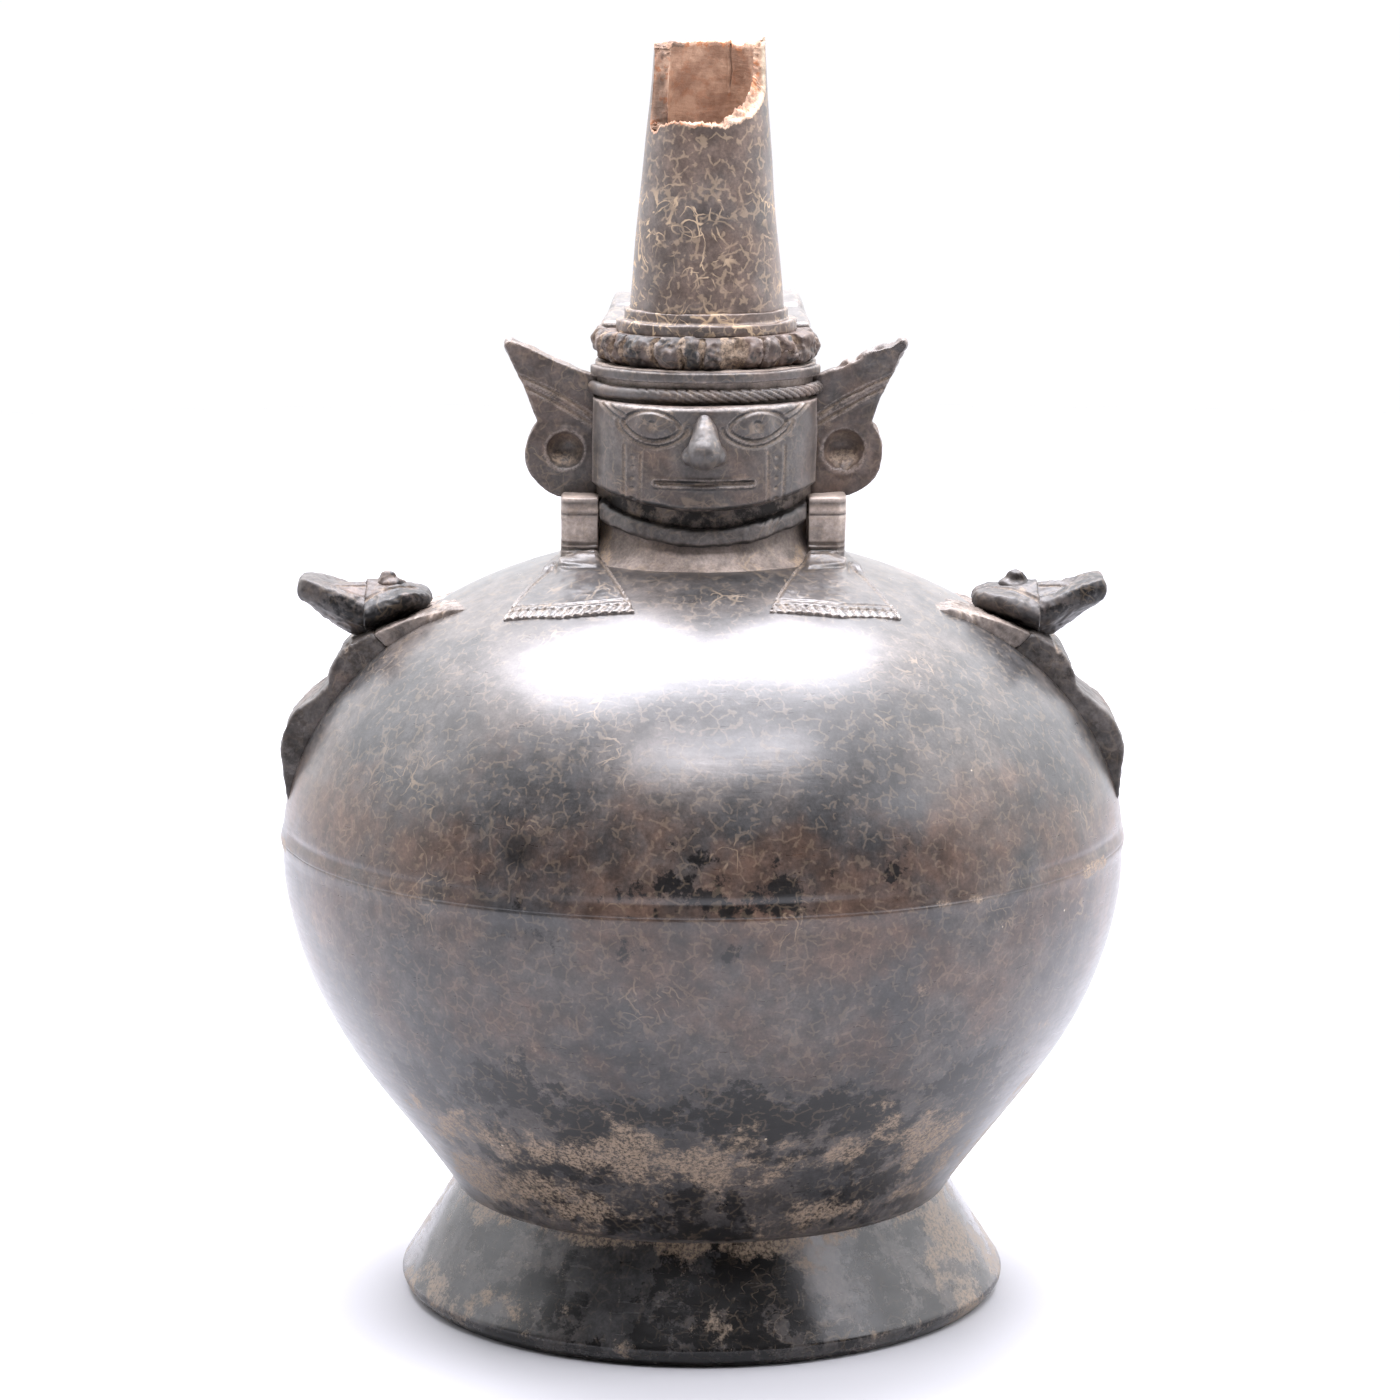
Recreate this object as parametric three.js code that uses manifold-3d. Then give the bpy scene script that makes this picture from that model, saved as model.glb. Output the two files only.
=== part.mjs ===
// Blackware bottle: a round-bellied vessel on a ring foot, with a face neck, winged ears,
// a broken conical spout, a strap handle behind it and a prone attendant on each shoulder.
// Millimetres, +Z up, origin at the centre of the ring that it stands on. The face looks to -Y.

import * as THREE from 'three';
import { mergeVertices } from 'three/addons/utils/BufferGeometryUtils.js';
import Module from 'manifold-3d';

const wasm = await Module();
wasm.setup();

// Ring foot
const FOOT_HEIGHT = 22.5;
const FOOT_REST_RADIUS = 57.3;
const FOOT_REST_WIDTH = 4.5;
const FOOT_LIP_RADIUS = 63;
const FOOT_LIP_LEVEL = 3.4;
const FOOT_SEAT_WIDTH = 5;

// Belly: the lower bowl up to the join, and the dome above it
const WAIST_RADIUS = 51.1;
const WAIST_ANGLE = 57;
const BOWL_HEIGHT = 74;
const BOWL_WALL = 4.6;
const BOWL_BASE_DEPTH = 12.5;
const DOME_RADIUS = 86;
const DOME_HEIGHT = 60;
const DOME_WALL = 4.4;
const SEAM_LAND_INSET = 4.8;
const SEAM_LEDGE = 0.6;

// Head: a hollow column, with the crown and the collar stacked on it
const NECK_RADIUS = 22.4;
const NECK_FLARE = 4.6;
const NECK_FLARE_HEIGHT = 6;
const NECK_WALL = 5;
const HEAD_HEIGHT = 39.7;
const CROWN_HEIGHT = 6.4;
const CROWN_RADIUS = 22.6;
const CROWN_BEADS = 24;
const CROWN_BEAD_DEPTH = 0.8;
const COLLAR_BAND_HEIGHT = 2.2;
const COLLAR_BAND_RADIUS = 18.4;
const COLLAR_STEP_HEIGHT = 2.2;
const COLLAR_STEP_RADIUS = 16.7;

// Spout
const SPOUT_HEIGHT = 53;
const SPOUT_FOOT_RADIUS = 15.7;
const SPOUT_RIM_RADIUS = 11.1;
const SPOUT_WALL = 2.4;
const SPOUT_BREAK_DEPTH = 15.5;
const SPOUT_SHARD_HEIGHT = 1.3;

// Face
const FACE_HALF_WIDTH = 22.6;
const FACE_HEIGHT = 20.8;
const FACE_CHIN_DROP = 3.8;
const FACE_PROJECTION = 5.2;
const EYE_SPACING = 21;
const EYE_LENGTH = 11.5;
const EYE_RELIEF = 0.9;
const MOUTH_WIDTH = 19;
const MOUTH_GROOVE = 0.9;
const NOSE_WIDTH = 9.4;
const NOSE_PROJECTION = 7;
const NOSE_BRIDGE_RISE = 3.4;
const NOSE_ROOT_DEPTH = 2.4;
const NOSE_EDGE = 1.4;

// Bands across the forehead
const CORD_BAND_HEIGHT = 2.7;
const HEADBAND_HEIGHT = 2.1;
const BAND_GROOVE = 1.2;
const BAND_RELIEF = 1.5;
const CORD_RELIEF = 2.1;
const BAND_EDGE = 0.5;

// Winged ears with their round spools
const EAR_THICKNESS = 5;
const EAR_EDGE = 0.9;
const EAR_ROOT_DEPTH = 3;
const EAR_SET_BACK = 3;
const EAR_SPAN = 18.6;
const EAR_WING_RISE = 15.2;
const EAR_SPOOL_RADIUS = 9.2;
const EAR_CUP_RADIUS = 4.1;
const EAR_CUP_DEPTH = 3.2;

// Collar of the dress, and the two hanging bands
const NECKLACE_HEIGHT = 3.6;
const NECKLACE_RELIEF = 1.9;
const NECKLACE_DROP = 2.6;
const NECKLACE_ROOT_DEPTH = 2;
const NECKLACE_TILT = 14.5;
const LAPPET_INSET = 1.2;
const LAPPET_WIDTH = 7.6;
const LAPPET_DEPTH = 10;
const LAPPET_BACK = 2;
const LAPPET_EDGE = 1.5;
const LAPPET_RELIEF = 1.7;
const LAPPET_FLARE_REACH = 24;
const LAPPET_HEM = 26.5;

// Strap handle
const STRAP_WIDTH = 43.5;
const STRAP_THICKNESS = 7;
const STRAP_EDGE = 1.6;
const STRAP_REACH = 64;
const STRAP_CROWN = 2.6;
const STRAP_TOP_WIDTH = 33;

// Attendants: places are angles up the dome from the join, heights are off its surface
const FIGURE_SET_FORWARD = 2;
const FIGURE_WIDTH = 22.5;
const FIGURE_THICKNESS = 4.9;
const FIGURE_EDGE = 0.8;
const FIGURE_NECK_ANGLE = 39.5;
const FIGURE_FOOT_ANGLE = 11.5;
const FIGURE_BELT_ANGLE = 30.5;
const ARM_START_ANGLE = 42.1;
const ARM_LENGTH_ANGLE = 13.5;
const ARM_THICKNESS = 3;
const ARM_WIDTH = 8;
const HAND_WIDTH = 12;
const HAND_SPREAD = 23;
const FIGURE_HEAD_LENGTH = 12.6;
const FIGURE_HEAD_WIDTH = 20.5;
const FIGURE_HEAD_RISE = 15.4;
const FIGURE_CHIN_WIDTH = 4.4;
const FIGURE_THROAT = 6.8;
const FIGURE_WAIST_SET_BACK = 2.2;
const HAT_LENGTH = 12.8;
const HAT_WIDTH = 15.5;
const HAT_RISE = 16.6;
const HAT_TIP_WIDTH = 3.4;
const LEAF_THICKNESS = 3.2;
const LEAF_SLOPE = 0.9;
const FIGURE_NOSE_LENGTH = 5.4;
const FIGURE_NOSE_HEIGHT = 3.3;
const FIGURE_NOSE_WIDTH = 3.8;

// The luting clearance that a curved seat keeps
const LUTE_GAP = 0.3;

// Facets
const ROUND_SEGMENTS = 56;
const SMALL_SEGMENTS = 36;
const CURVE_STEPS = 6;
const DOME_STEPS = 10;
const DOME_INSIDE_STEPS = 6;
const BASE_STEPS = 4;
const SWELL_SEGMENTS = 40;
const SWELL_RINGS = 24;

// Levels, each worked out once from the sizes above
const SEAM_LEVEL = FOOT_HEIGHT + BOWL_HEIGHT;
const BOWL_RADIUS = DOME_RADIUS + SEAM_LEDGE;
const NECK_FOOT_RADIUS = NECK_RADIUS + NECK_FLARE;
const NECK_FOOT_ANGLE = Math.acos(NECK_FOOT_RADIUS / DOME_RADIUS);
const NECK_LEVEL = SEAM_LEVEL + DOME_HEIGHT * Math.sin(NECK_FOOT_ANGLE);
const HEAD_TOP = NECK_LEVEL + HEAD_HEIGHT;
const CROWN_TOP = HEAD_TOP + CROWN_HEIGHT;
const COLLAR_STEP_LEVEL = CROWN_TOP + COLLAR_BAND_HEIGHT;
const SPOUT_LEVEL = COLLAR_STEP_LEVEL + COLLAR_STEP_HEIGHT;
const RIM_LEVEL = SPOUT_LEVEL + SPOUT_HEIGHT;
const BORE_RADIUS = NECK_RADIUS - NECK_WALL;
const SPOUT_BORE_RADIUS = SPOUT_FOOT_RADIUS - SPOUT_WALL;
const HEADBAND_LEVEL = HEAD_TOP - BAND_GROOVE * 0.2 - HEADBAND_HEIGHT;
const CORD_BAND_LEVEL = HEADBAND_LEVEL - BAND_GROOVE - CORD_BAND_HEIGHT;
const FACE_TOP = CORD_BAND_LEVEL - BAND_GROOVE * 0.4;
const CHIN_LEVEL = FACE_TOP - FACE_HEIGHT;
const FRONT_OF_EARS = -EAR_SET_BACK - EAR_THICKNESS / 2 - LUTE_GAP;
const EAR_SPOOL_LEVEL = CHIN_LEVEL + FACE_CHIN_DROP + EAR_SPOOL_RADIUS * 0.6;
const LAPPET_INNER = NECK_RADIUS - LAPPET_INSET;

// The face by the usual proportions: eyes half way up the head with its crown, the foot of the
// nose half way from eyes to chin, the mouth a third of the way up from chin to eyes
const EYE_LEVEL = (CHIN_LEVEL + CROWN_TOP) / 2;
const NOSE_BASE_LEVEL = (CHIN_LEVEL + EYE_LEVEL) / 2;
const MOUTH_LEVEL = CHIN_LEVEL + (EYE_LEVEL - CHIN_LEVEL) / 3;
const FACE_SWELL_RADIUS = FACE_HALF_WIDTH * 1.02;
const FACE_DEPTH = NECK_RADIUS + FACE_PROJECTION + FRONT_OF_EARS;

const PLATE_DEPTH = 80;
const MERGE_TOLERANCE = 1e-4;
const radians = THREE.MathUtils.degToRad;

// Colours of the burnished ware, and of the bare broken clay
const DARK_WARE = { color: 0x3b3430, roughness: 0.42, metalness: 0 };
const GREY_WARE = { color: 0x4a4440, roughness: 0.45, metalness: 0 };
const BROWN_WARE = { color: 0x5a4a41, roughness: 0.5, metalness: 0 };

// A closed geometry as a solid, whichever way round its profile was drawn
function asSolid(geometry) {
  const bare = new THREE.BufferGeometry();
  bare.setAttribute('position', geometry.getAttribute('position'));
  bare.setIndex(geometry.index);
  const merged = mergeVertices(bare, MERGE_TOLERANCE);
  const places = merged.getAttribute('position').array;
  const corners = merged.getIndex().array;
  const triangles = [];
  let volume = 0;
  for (let i = 0; i < corners.length; i += 3) {
    const [a, b, c] = [corners[i], corners[i + 1], corners[i + 2]];
    if (a === b || b === c || c === a) continue;
    triangles.push(a, b, c);
    const [p, q, r] = [a, b, c].map((index) => new THREE.Vector3().fromArray(places, index * 3));
    volume += p.dot(q.cross(r));
  }
  if (volume < 0) triangles.reverse();
  return new wasm.Manifold(new wasm.Mesh({
    numProp: 3,
    vertProperties: Float32Array.from(places),
    triVerts: Uint32Array.from(triangles),
  }));
}

// A closed profile of [radius, level] points turned about the vessel's axis
function turned(profile, segments = ROUND_SEGMENTS) {
  const points = [...profile, profile[0]].map(([radius, level]) => new THREE.Vector2(radius, level));
  const geometry = new THREE.LatheGeometry(points, segments);
  geometry.rotateX(Math.PI / 2);
  return asSolid(geometry);
}

// An outline drawn in the front view (X, Z), as a plate from the plane Y = back forwards
function frontPlate(shape, back, depth, bevel = 0) {
  const geometry = new THREE.ExtrudeGeometry(shape, plateOptions(depth, bevel));
  geometry.translate(0, 0, bevel);
  geometry.rotateX(Math.PI / 2);
  geometry.translate(0, back, 0);
  return asSolid(geometry);
}

// An outline drawn in the side view (Y, Z), as a plate centred on the plane X = 0
function sidePlate(shape, width, bevel = 0) {
  const geometry = new THREE.ExtrudeGeometry(shape, plateOptions(width, bevel));
  geometry.translate(0, 0, bevel - width / 2);
  const axes = new THREE.Matrix4();
  axes.makeBasis(new THREE.Vector3(0, 1, 0), new THREE.Vector3(0, 0, 1), new THREE.Vector3(1, 0, 0));
  geometry.applyMatrix4(axes);
  return asSolid(geometry);
}

// An outline drawn in plan (X, Y), as a prism between two levels
function planPrism(shape, bottom, top) {
  const geometry = new THREE.ExtrudeGeometry(shape, plateOptions(top - bottom, 0));
  geometry.translate(0, 0, bottom);
  return asSolid(geometry);
}

function plateOptions(depth, bevel) {
  return {
    depth: depth - 2 * bevel,
    curveSegments: CURVE_STEPS,
    bevelEnabled: bevel > 0,
    bevelThickness: bevel,
    bevelSize: bevel,
    bevelOffset: -bevel,
    bevelSegments: 2,
  };
}

function outline(points) {
  return new THREE.Shape(points.map(([u, v]) => new THREE.Vector2(u, v)));
}

function ellipsoid(centre, radii, columns = 20, rows = 12) {
  const geometry = new THREE.SphereGeometry(1, columns, rows);
  geometry.scale(...radii);
  geometry.translate(...centre);
  return asSolid(geometry);
}

// Points of a cubic curve as [radius, level] pairs
function cubic(start, leave, arrive, end, steps = CURVE_STEPS) {
  const controls = [start, leave, arrive, end].map(([u, v]) => new THREE.Vector2(u, v));
  return new THREE.CubicBezierCurve(...controls).getPoints(steps).map((point) => [point.x, point.y]);
}

// A place on the dome, an angle up from the join and a height off its surface
function onDome(angle, height = 0) {
  const normal = new THREE.Vector2(Math.cos(angle) / DOME_RADIUS, Math.sin(angle) / DOME_HEIGHT);
  normal.normalize();
  const radius = DOME_RADIUS * Math.cos(angle) + normal.x * height;
  const level = SEAM_LEVEL + DOME_HEIGHT * Math.sin(angle) + normal.y * height;
  return [radius, level];
}

function domeArc(from, to, height, steps) {
  return Array.from({ length: steps + 1 }, (_, i) => onDome(from + ((to - from) * i) / steps, height));
}

// The dome as a full body, larger all over by the given height
function domeBody(height) {
  const arc = domeArc(0, NECK_FOOT_ANGLE, height, DOME_STEPS);
  const top = arc[arc.length - 1];
  return turned([[0, SEAM_LEVEL], ...arc, [0, top[1]]]);
}

// All that is stacked on the dome, as a full body, larger all round by the luting clearance
function headBody() {
  const lowest = NECK_LEVEL - DOME_HEIGHT / 2;
  return turned([
    [0, lowest],
    [NECK_FOOT_RADIUS + LUTE_GAP, lowest],
    [NECK_FOOT_RADIUS + LUTE_GAP, NECK_LEVEL],
    ...neckFlare(LUTE_GAP),
    [NECK_RADIUS + LUTE_GAP, HEAD_TOP - LUTE_GAP],
    [CROWN_RADIUS + LUTE_GAP, HEAD_TOP - LUTE_GAP],
    [CROWN_RADIUS + LUTE_GAP, CROWN_TOP + LUTE_GAP],
    [COLLAR_BAND_RADIUS + LUTE_GAP, CROWN_TOP + LUTE_GAP],
    [COLLAR_BAND_RADIUS + LUTE_GAP, COLLAR_STEP_LEVEL + LUTE_GAP],
    [COLLAR_STEP_RADIUS + LUTE_GAP, COLLAR_STEP_LEVEL + LUTE_GAP],
    [COLLAR_STEP_RADIUS + LUTE_GAP, SPOUT_LEVEL + LUTE_GAP],
    [SPOUT_FOOT_RADIUS + LUTE_GAP, SPOUT_LEVEL + LUTE_GAP],
    [SPOUT_FOOT_RADIUS + LUTE_GAP, RIM_LEVEL],
    [0, RIM_LEVEL],
  ], SMALL_SEGMENTS);
}

// The concave root of the neck, from the seat on the dome up to the straight column
function neckFlare(clearance = 0) {
  return cubic(
    [NECK_FOOT_RADIUS + clearance, NECK_LEVEL],
    [NECK_RADIUS + NECK_FLARE * 0.35 + clearance, NECK_LEVEL + NECK_FLARE_HEIGHT * 0.15],
    [NECK_RADIUS + clearance, NECK_LEVEL + NECK_FLARE_HEIGHT * 0.5],
    [NECK_RADIUS + clearance, NECK_LEVEL + NECK_FLARE_HEIGHT],
    4,
  );
}

function footRing() {
  const seatRadius = WAIST_RADIUS - FOOT_SEAT_WIDTH;
  const insideRadius = FOOT_REST_RADIUS - FOOT_REST_WIDTH;
  const flare = cubic(
    [WAIST_RADIUS, FOOT_HEIGHT],
    [WAIST_RADIUS + FOOT_HEIGHT * 0.2, FOOT_HEIGHT * 0.86],
    [FOOT_LIP_RADIUS, FOOT_HEIGHT * 0.63],
    [FOOT_LIP_RADIUS, FOOT_LIP_LEVEL * 1.7],
    6,
  );
  const lip = cubic(
    [FOOT_LIP_RADIUS, FOOT_LIP_LEVEL * 1.7],
    [FOOT_LIP_RADIUS, FOOT_LIP_LEVEL * 0.6],
    [(FOOT_LIP_RADIUS + FOOT_REST_RADIUS) / 2, 0],
    [FOOT_REST_RADIUS, 0],
    3,
  );
  const inside = cubic(
    [insideRadius, 0],
    [insideRadius + 1.7, FOOT_HEIGHT * 0.4],
    [seatRadius + 2.5, FOOT_HEIGHT * 0.75],
    [seatRadius, FOOT_HEIGHT],
    3,
  );
  return turned([...flare, ...lip.slice(1), ...inside]);
}

function lowerBowl() {
  const leave = new THREE.Vector2(BOWL_HEIGHT * 0.3, 0);
  leave.rotateAround(new THREE.Vector2(), radians(WAIST_ANGLE));
  const outside = cubic(
    [WAIST_RADIUS, FOOT_HEIGHT],
    [WAIST_RADIUS + leave.x, FOOT_HEIGHT + leave.y],
    [BOWL_RADIUS, SEAM_LEVEL - BOWL_HEIGHT * 0.475],
    [BOWL_RADIUS, SEAM_LEVEL],
    10,
  );
  const rimRadius = DOME_RADIUS - SEAM_LAND_INSET;
  const floorLevel = FOOT_HEIGHT - BOWL_BASE_DEPTH + BOWL_WALL;
  const inside = cubic(
    [rimRadius, SEAM_LEVEL],
    [rimRadius, SEAM_LEVEL - BOWL_HEIGHT * 0.6],
    [WAIST_RADIUS, floorLevel],
    [0, floorLevel],
    5,
  );
  const seatRadius = WAIST_RADIUS - FOOT_SEAT_WIDTH;
  const base = Array.from({ length: BASE_STEPS + 1 }, (_, i) => {
    const turn = (i / BASE_STEPS) * (Math.PI / 2);
    const radius = (seatRadius - LUTE_GAP) * Math.sin(turn);
    return [radius, FOOT_HEIGHT - BOWL_BASE_DEPTH * Math.cos(turn)];
  });
  return turned([...inside, ...base, ...outside]);
}

function upperDome() {
  const outside = domeArc(0, NECK_FOOT_ANGLE, 0, DOME_STEPS);
  const innerRadius = DOME_RADIUS - SEAM_LAND_INSET;
  const innerHeight = DOME_HEIGHT - DOME_WALL;
  const boreAngle = Math.acos(BORE_RADIUS / innerRadius);
  const inside = Array.from({ length: DOME_INSIDE_STEPS + 1 }, (_, i) => {
    const angle = boreAngle * (1 - i / DOME_INSIDE_STEPS);
    return [innerRadius * Math.cos(angle), SEAM_LEVEL + innerHeight * Math.sin(angle)];
  });
  return turned([...outside, [BORE_RADIUS, NECK_LEVEL], ...inside]);
}

function neck() {
  return turned([
    ...neckFlare(),
    [NECK_RADIUS, HEAD_TOP],
    [BORE_RADIUS, HEAD_TOP],
    [BORE_RADIUS, NECK_LEVEL],
  ], SMALL_SEGMENTS);
}

// The beaded roll: a ring whose section swells at each bead and draws in between two
function crownRoll() {
  const stepsPerBead = 4;
  const columns = CROWN_BEADS * stepsPerBead;
  const halfHeight = CROWN_HEIGHT / 2;
  const section = (swell) => [
    [SPOUT_BORE_RADIUS, 0],
    [COLLAR_BAND_RADIUS + 1, 0],
    [CROWN_RADIUS - 1.2 - swell, halfHeight * 0.35],
    [CROWN_RADIUS - swell, halfHeight],
    [CROWN_RADIUS - 1 - swell, halfHeight * 1.6],
    [COLLAR_BAND_RADIUS + 0.6, CROWN_HEIGHT],
    [SPOUT_BORE_RADIUS, CROWN_HEIGHT],
  ];
  const places = [];
  const corners = [];
  const count = section(0).length;
  for (let i = 0; i < columns; i += 1) {
    const angle = (i / columns) * Math.PI * 2;
    const swell = CROWN_BEAD_DEPTH * Math.abs(Math.cos((angle * CROWN_BEADS) / 2)) ** 2;
    for (const [radius, height] of section(swell)) {
      places.push(radius * Math.cos(angle), radius * Math.sin(angle), HEAD_TOP + height);
    }
    const next = (i + 1) % columns;
    for (let j = 0; j < count; j += 1) {
      const k = (j + 1) % count;
      corners.push(i * count + j, next * count + j, next * count + k);
      corners.push(i * count + j, next * count + k, i * count + k);
    }
  }
  const geometry = new THREE.BufferGeometry();
  geometry.setAttribute('position', new THREE.Float32BufferAttribute(places, 3));
  geometry.setIndex(corners);
  return asSolid(geometry);
}

function spoutCollar() {
  return turned([
    [SPOUT_BORE_RADIUS, CROWN_TOP],
    [COLLAR_BAND_RADIUS - 0.6, CROWN_TOP],
    [COLLAR_BAND_RADIUS, CROWN_TOP + COLLAR_BAND_HEIGHT * 0.3],
    [COLLAR_BAND_RADIUS, COLLAR_STEP_LEVEL - COLLAR_BAND_HEIGHT * 0.2],
    [COLLAR_BAND_RADIUS - 0.5, COLLAR_STEP_LEVEL],
    [COLLAR_STEP_RADIUS, COLLAR_STEP_LEVEL],
    [COLLAR_STEP_RADIUS, SPOUT_LEVEL - COLLAR_STEP_HEIGHT * 0.2],
    [COLLAR_STEP_RADIUS - 0.4, SPOUT_LEVEL],
    [SPOUT_BORE_RADIUS, SPOUT_LEVEL],
  ], SMALL_SEGMENTS);
}

// The tapered spout, with its broken front edge and the shard left standing at its right
function spout() {
  const shardTop = RIM_LEVEL + SPOUT_SHARD_HEIGHT;
  const outside = cubic(
    [SPOUT_FOOT_RADIUS, SPOUT_LEVEL],
    [SPOUT_FOOT_RADIUS - 1.2, SPOUT_LEVEL + SPOUT_HEIGHT * 0.25],
    [SPOUT_RIM_RADIUS + 1.2, RIM_LEVEL - SPOUT_HEIGHT * 0.35],
    [SPOUT_RIM_RADIUS, shardTop],
    4,
  );
  const inside = outside.map(([radius, level]) => [radius - SPOUT_WALL, level]).reverse();
  const tube = turned([...outside, ...inside], SMALL_SEGMENTS);
  const low = RIM_LEVEL - SPOUT_BREAK_DEPTH;
  const wide = SPOUT_FOOT_RADIUS * 2;
  const front = outline([
    [-wide, low],
    [-SPOUT_RIM_RADIUS * 0.72, low],
    [-SPOUT_RIM_RADIUS * 0.3, low + SPOUT_BREAK_DEPTH * 0.1],
    [SPOUT_RIM_RADIUS * 0.15, low + SPOUT_BREAK_DEPTH * 0.08],
    [SPOUT_RIM_RADIUS * 0.5, low + SPOUT_BREAK_DEPTH * 0.2],
    [SPOUT_RIM_RADIUS * 0.82, low + SPOUT_BREAK_DEPTH * 0.36],
    [SPOUT_RIM_RADIUS * 0.97, low + SPOUT_BREAK_DEPTH * 0.62],
    [wide, low + SPOUT_BREAK_DEPTH * 0.68],
    [wide, shardTop + 1],
    [-wide, shardTop + 1],
  ]);
  const back = outline([
    [-wide, RIM_LEVEL - 0.6],
    [-SPOUT_RIM_RADIUS * 0.6, RIM_LEVEL],
    [SPOUT_RIM_RADIUS * 0.35, RIM_LEVEL - 0.5],
    [SPOUT_RIM_RADIUS * 0.75, RIM_LEVEL + SPOUT_SHARD_HEIGHT * 0.6],
    [SPOUT_RIM_RADIUS, shardTop + 0.2],
    [wide, shardTop + 0.2],
    [wide, shardTop + 1],
    [-wide, shardTop + 1],
  ]);
  return tube
    .subtract(frontPlate(front, -SPOUT_RIM_RADIUS * 0.12, wide))
    .subtract(frontPlate(back, wide, wide * 2));
}

// The mask: a broad convex plate with a curved chin, two almond eyes and a straight mouth
function faceMask() {
  const sideLevel = CHIN_LEVEL + FACE_CHIN_DROP;
  const shape = new THREE.Shape();
  shape.moveTo(-FACE_HALF_WIDTH, sideLevel);
  shape.quadraticCurveTo(0, CHIN_LEVEL - FACE_CHIN_DROP, FACE_HALF_WIDTH, sideLevel);
  shape.lineTo(FACE_HALF_WIDTH * 0.96, FACE_TOP);
  shape.lineTo(-FACE_HALF_WIDTH * 0.96, FACE_TOP);
  return frontPlate(shape, FRONT_OF_EARS, PLATE_DEPTH)
    .intersect(faceSwell())
    .add(eyeLid(-1))
    .add(eyeLid(1))
    .subtract(mouthGroove())
    .subtract(headBody())
    .subtract(nose(LUTE_GAP));
}

// The rounded front that the mask is cut from, smaller all round by the inset
function faceSwell(inset = 0) {
  const middle = (CHIN_LEVEL + FACE_TOP) / 2;
  const radii = [FACE_SWELL_RADIUS - inset, FACE_DEPTH - inset, FACE_HEIGHT * 2.2];
  return ellipsoid([0, FRONT_OF_EARS, middle], radii, SWELL_SEGMENTS, SWELL_RINGS);
}

// How far forward the mask stands at a place across it
function faceFront(x) {
  return FRONT_OF_EARS - FACE_DEPTH * Math.sqrt(1 - (x / FACE_SWELL_RADIUS) ** 2);
}

function eyeLid(side) {
  const x = (side * EYE_SPACING) / 2;
  const depth = EYE_RELIEF * 3;
  const centre = [x, faceFront(x) + depth - EYE_RELIEF, EYE_LEVEL];
  return ellipsoid(centre, [EYE_LENGTH / 2, depth, EYE_LENGTH * 0.24], 12, 8);
}

function mouthGroove() {
  const half = MOUTH_WIDTH / 2;
  const slot = outline([
    [-half, MOUTH_LEVEL - MOUTH_GROOVE / 2],
    [half, MOUTH_LEVEL - MOUTH_GROOVE / 2],
    [half, MOUTH_LEVEL + MOUTH_GROOVE / 2],
    [-half, MOUTH_LEVEL + MOUTH_GROOVE / 2],
  ]);
  const back = faceFront(half) + MOUTH_GROOVE * 0.3;
  return frontPlate(slot, back, PLATE_DEPTH).subtract(faceSwell(MOUTH_GROOVE));
}

// The hooked nose, larger all round by the clearance when it serves as its own seat
function nose(clearance = 0) {
  const root = -NECK_RADIUS - FACE_PROJECTION + NOSE_ROOT_DEPTH + clearance;
  const tip = -NECK_RADIUS - FACE_PROJECTION - NOSE_PROJECTION - clearance;
  const height = EYE_LEVEL + NOSE_BRIDGE_RISE - NOSE_BASE_LEVEL;
  const level = (share) => NOSE_BASE_LEVEL + height * share;
  const profile = outline([
    [root, level(1) + clearance],
    [root - NOSE_ROOT_DEPTH - clearance, level(0.96) + clearance],
    [tip + NOSE_PROJECTION * 0.26, level(0.62) + clearance],
    [tip, level(0.42)],
    [tip + NOSE_PROJECTION * 0.09, level(0.2) - clearance],
    [tip + NOSE_PROJECTION * 0.37, level(0.1) - clearance],
    [root, level(0) - clearance],
  ]);
  const half = NOSE_WIDTH / 2 + clearance;
  const front = outline([
    [-half, level(-0.1) - clearance],
    [half, level(-0.1) - clearance],
    [half, level(0.35)],
    [half * 0.62, level(1.1) + clearance],
    [-half * 0.62, level(1.1) + clearance],
    [-half, level(0.35)],
  ]);
  return sidePlate(profile, half * 2, clearance > 0 ? 0 : NOSE_EDGE)
    .intersect(frontPlate(front, 0, PLATE_DEPTH));
}

// Half a ring round the forehead, from one ear to the other
function foreheadBand(level, height, relief) {
  const inner = NECK_RADIUS + LUTE_GAP;
  const outer = NECK_RADIUS + relief;
  const ring = turned([
    [inner, level],
    [outer - BAND_EDGE, level],
    [outer, level + height * 0.3],
    [outer, level + height * 0.7],
    [outer - BAND_EDGE, level + height],
    [inner, level + height],
  ]);
  const reach = NECK_RADIUS * 2;
  const half = outline([
    [-reach, FRONT_OF_EARS],
    [-reach, -reach],
    [reach, -reach],
    [reach, FRONT_OF_EARS],
  ]);
  return ring.intersect(planPrism(half, level - 1, level + height + 1));
}

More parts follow.
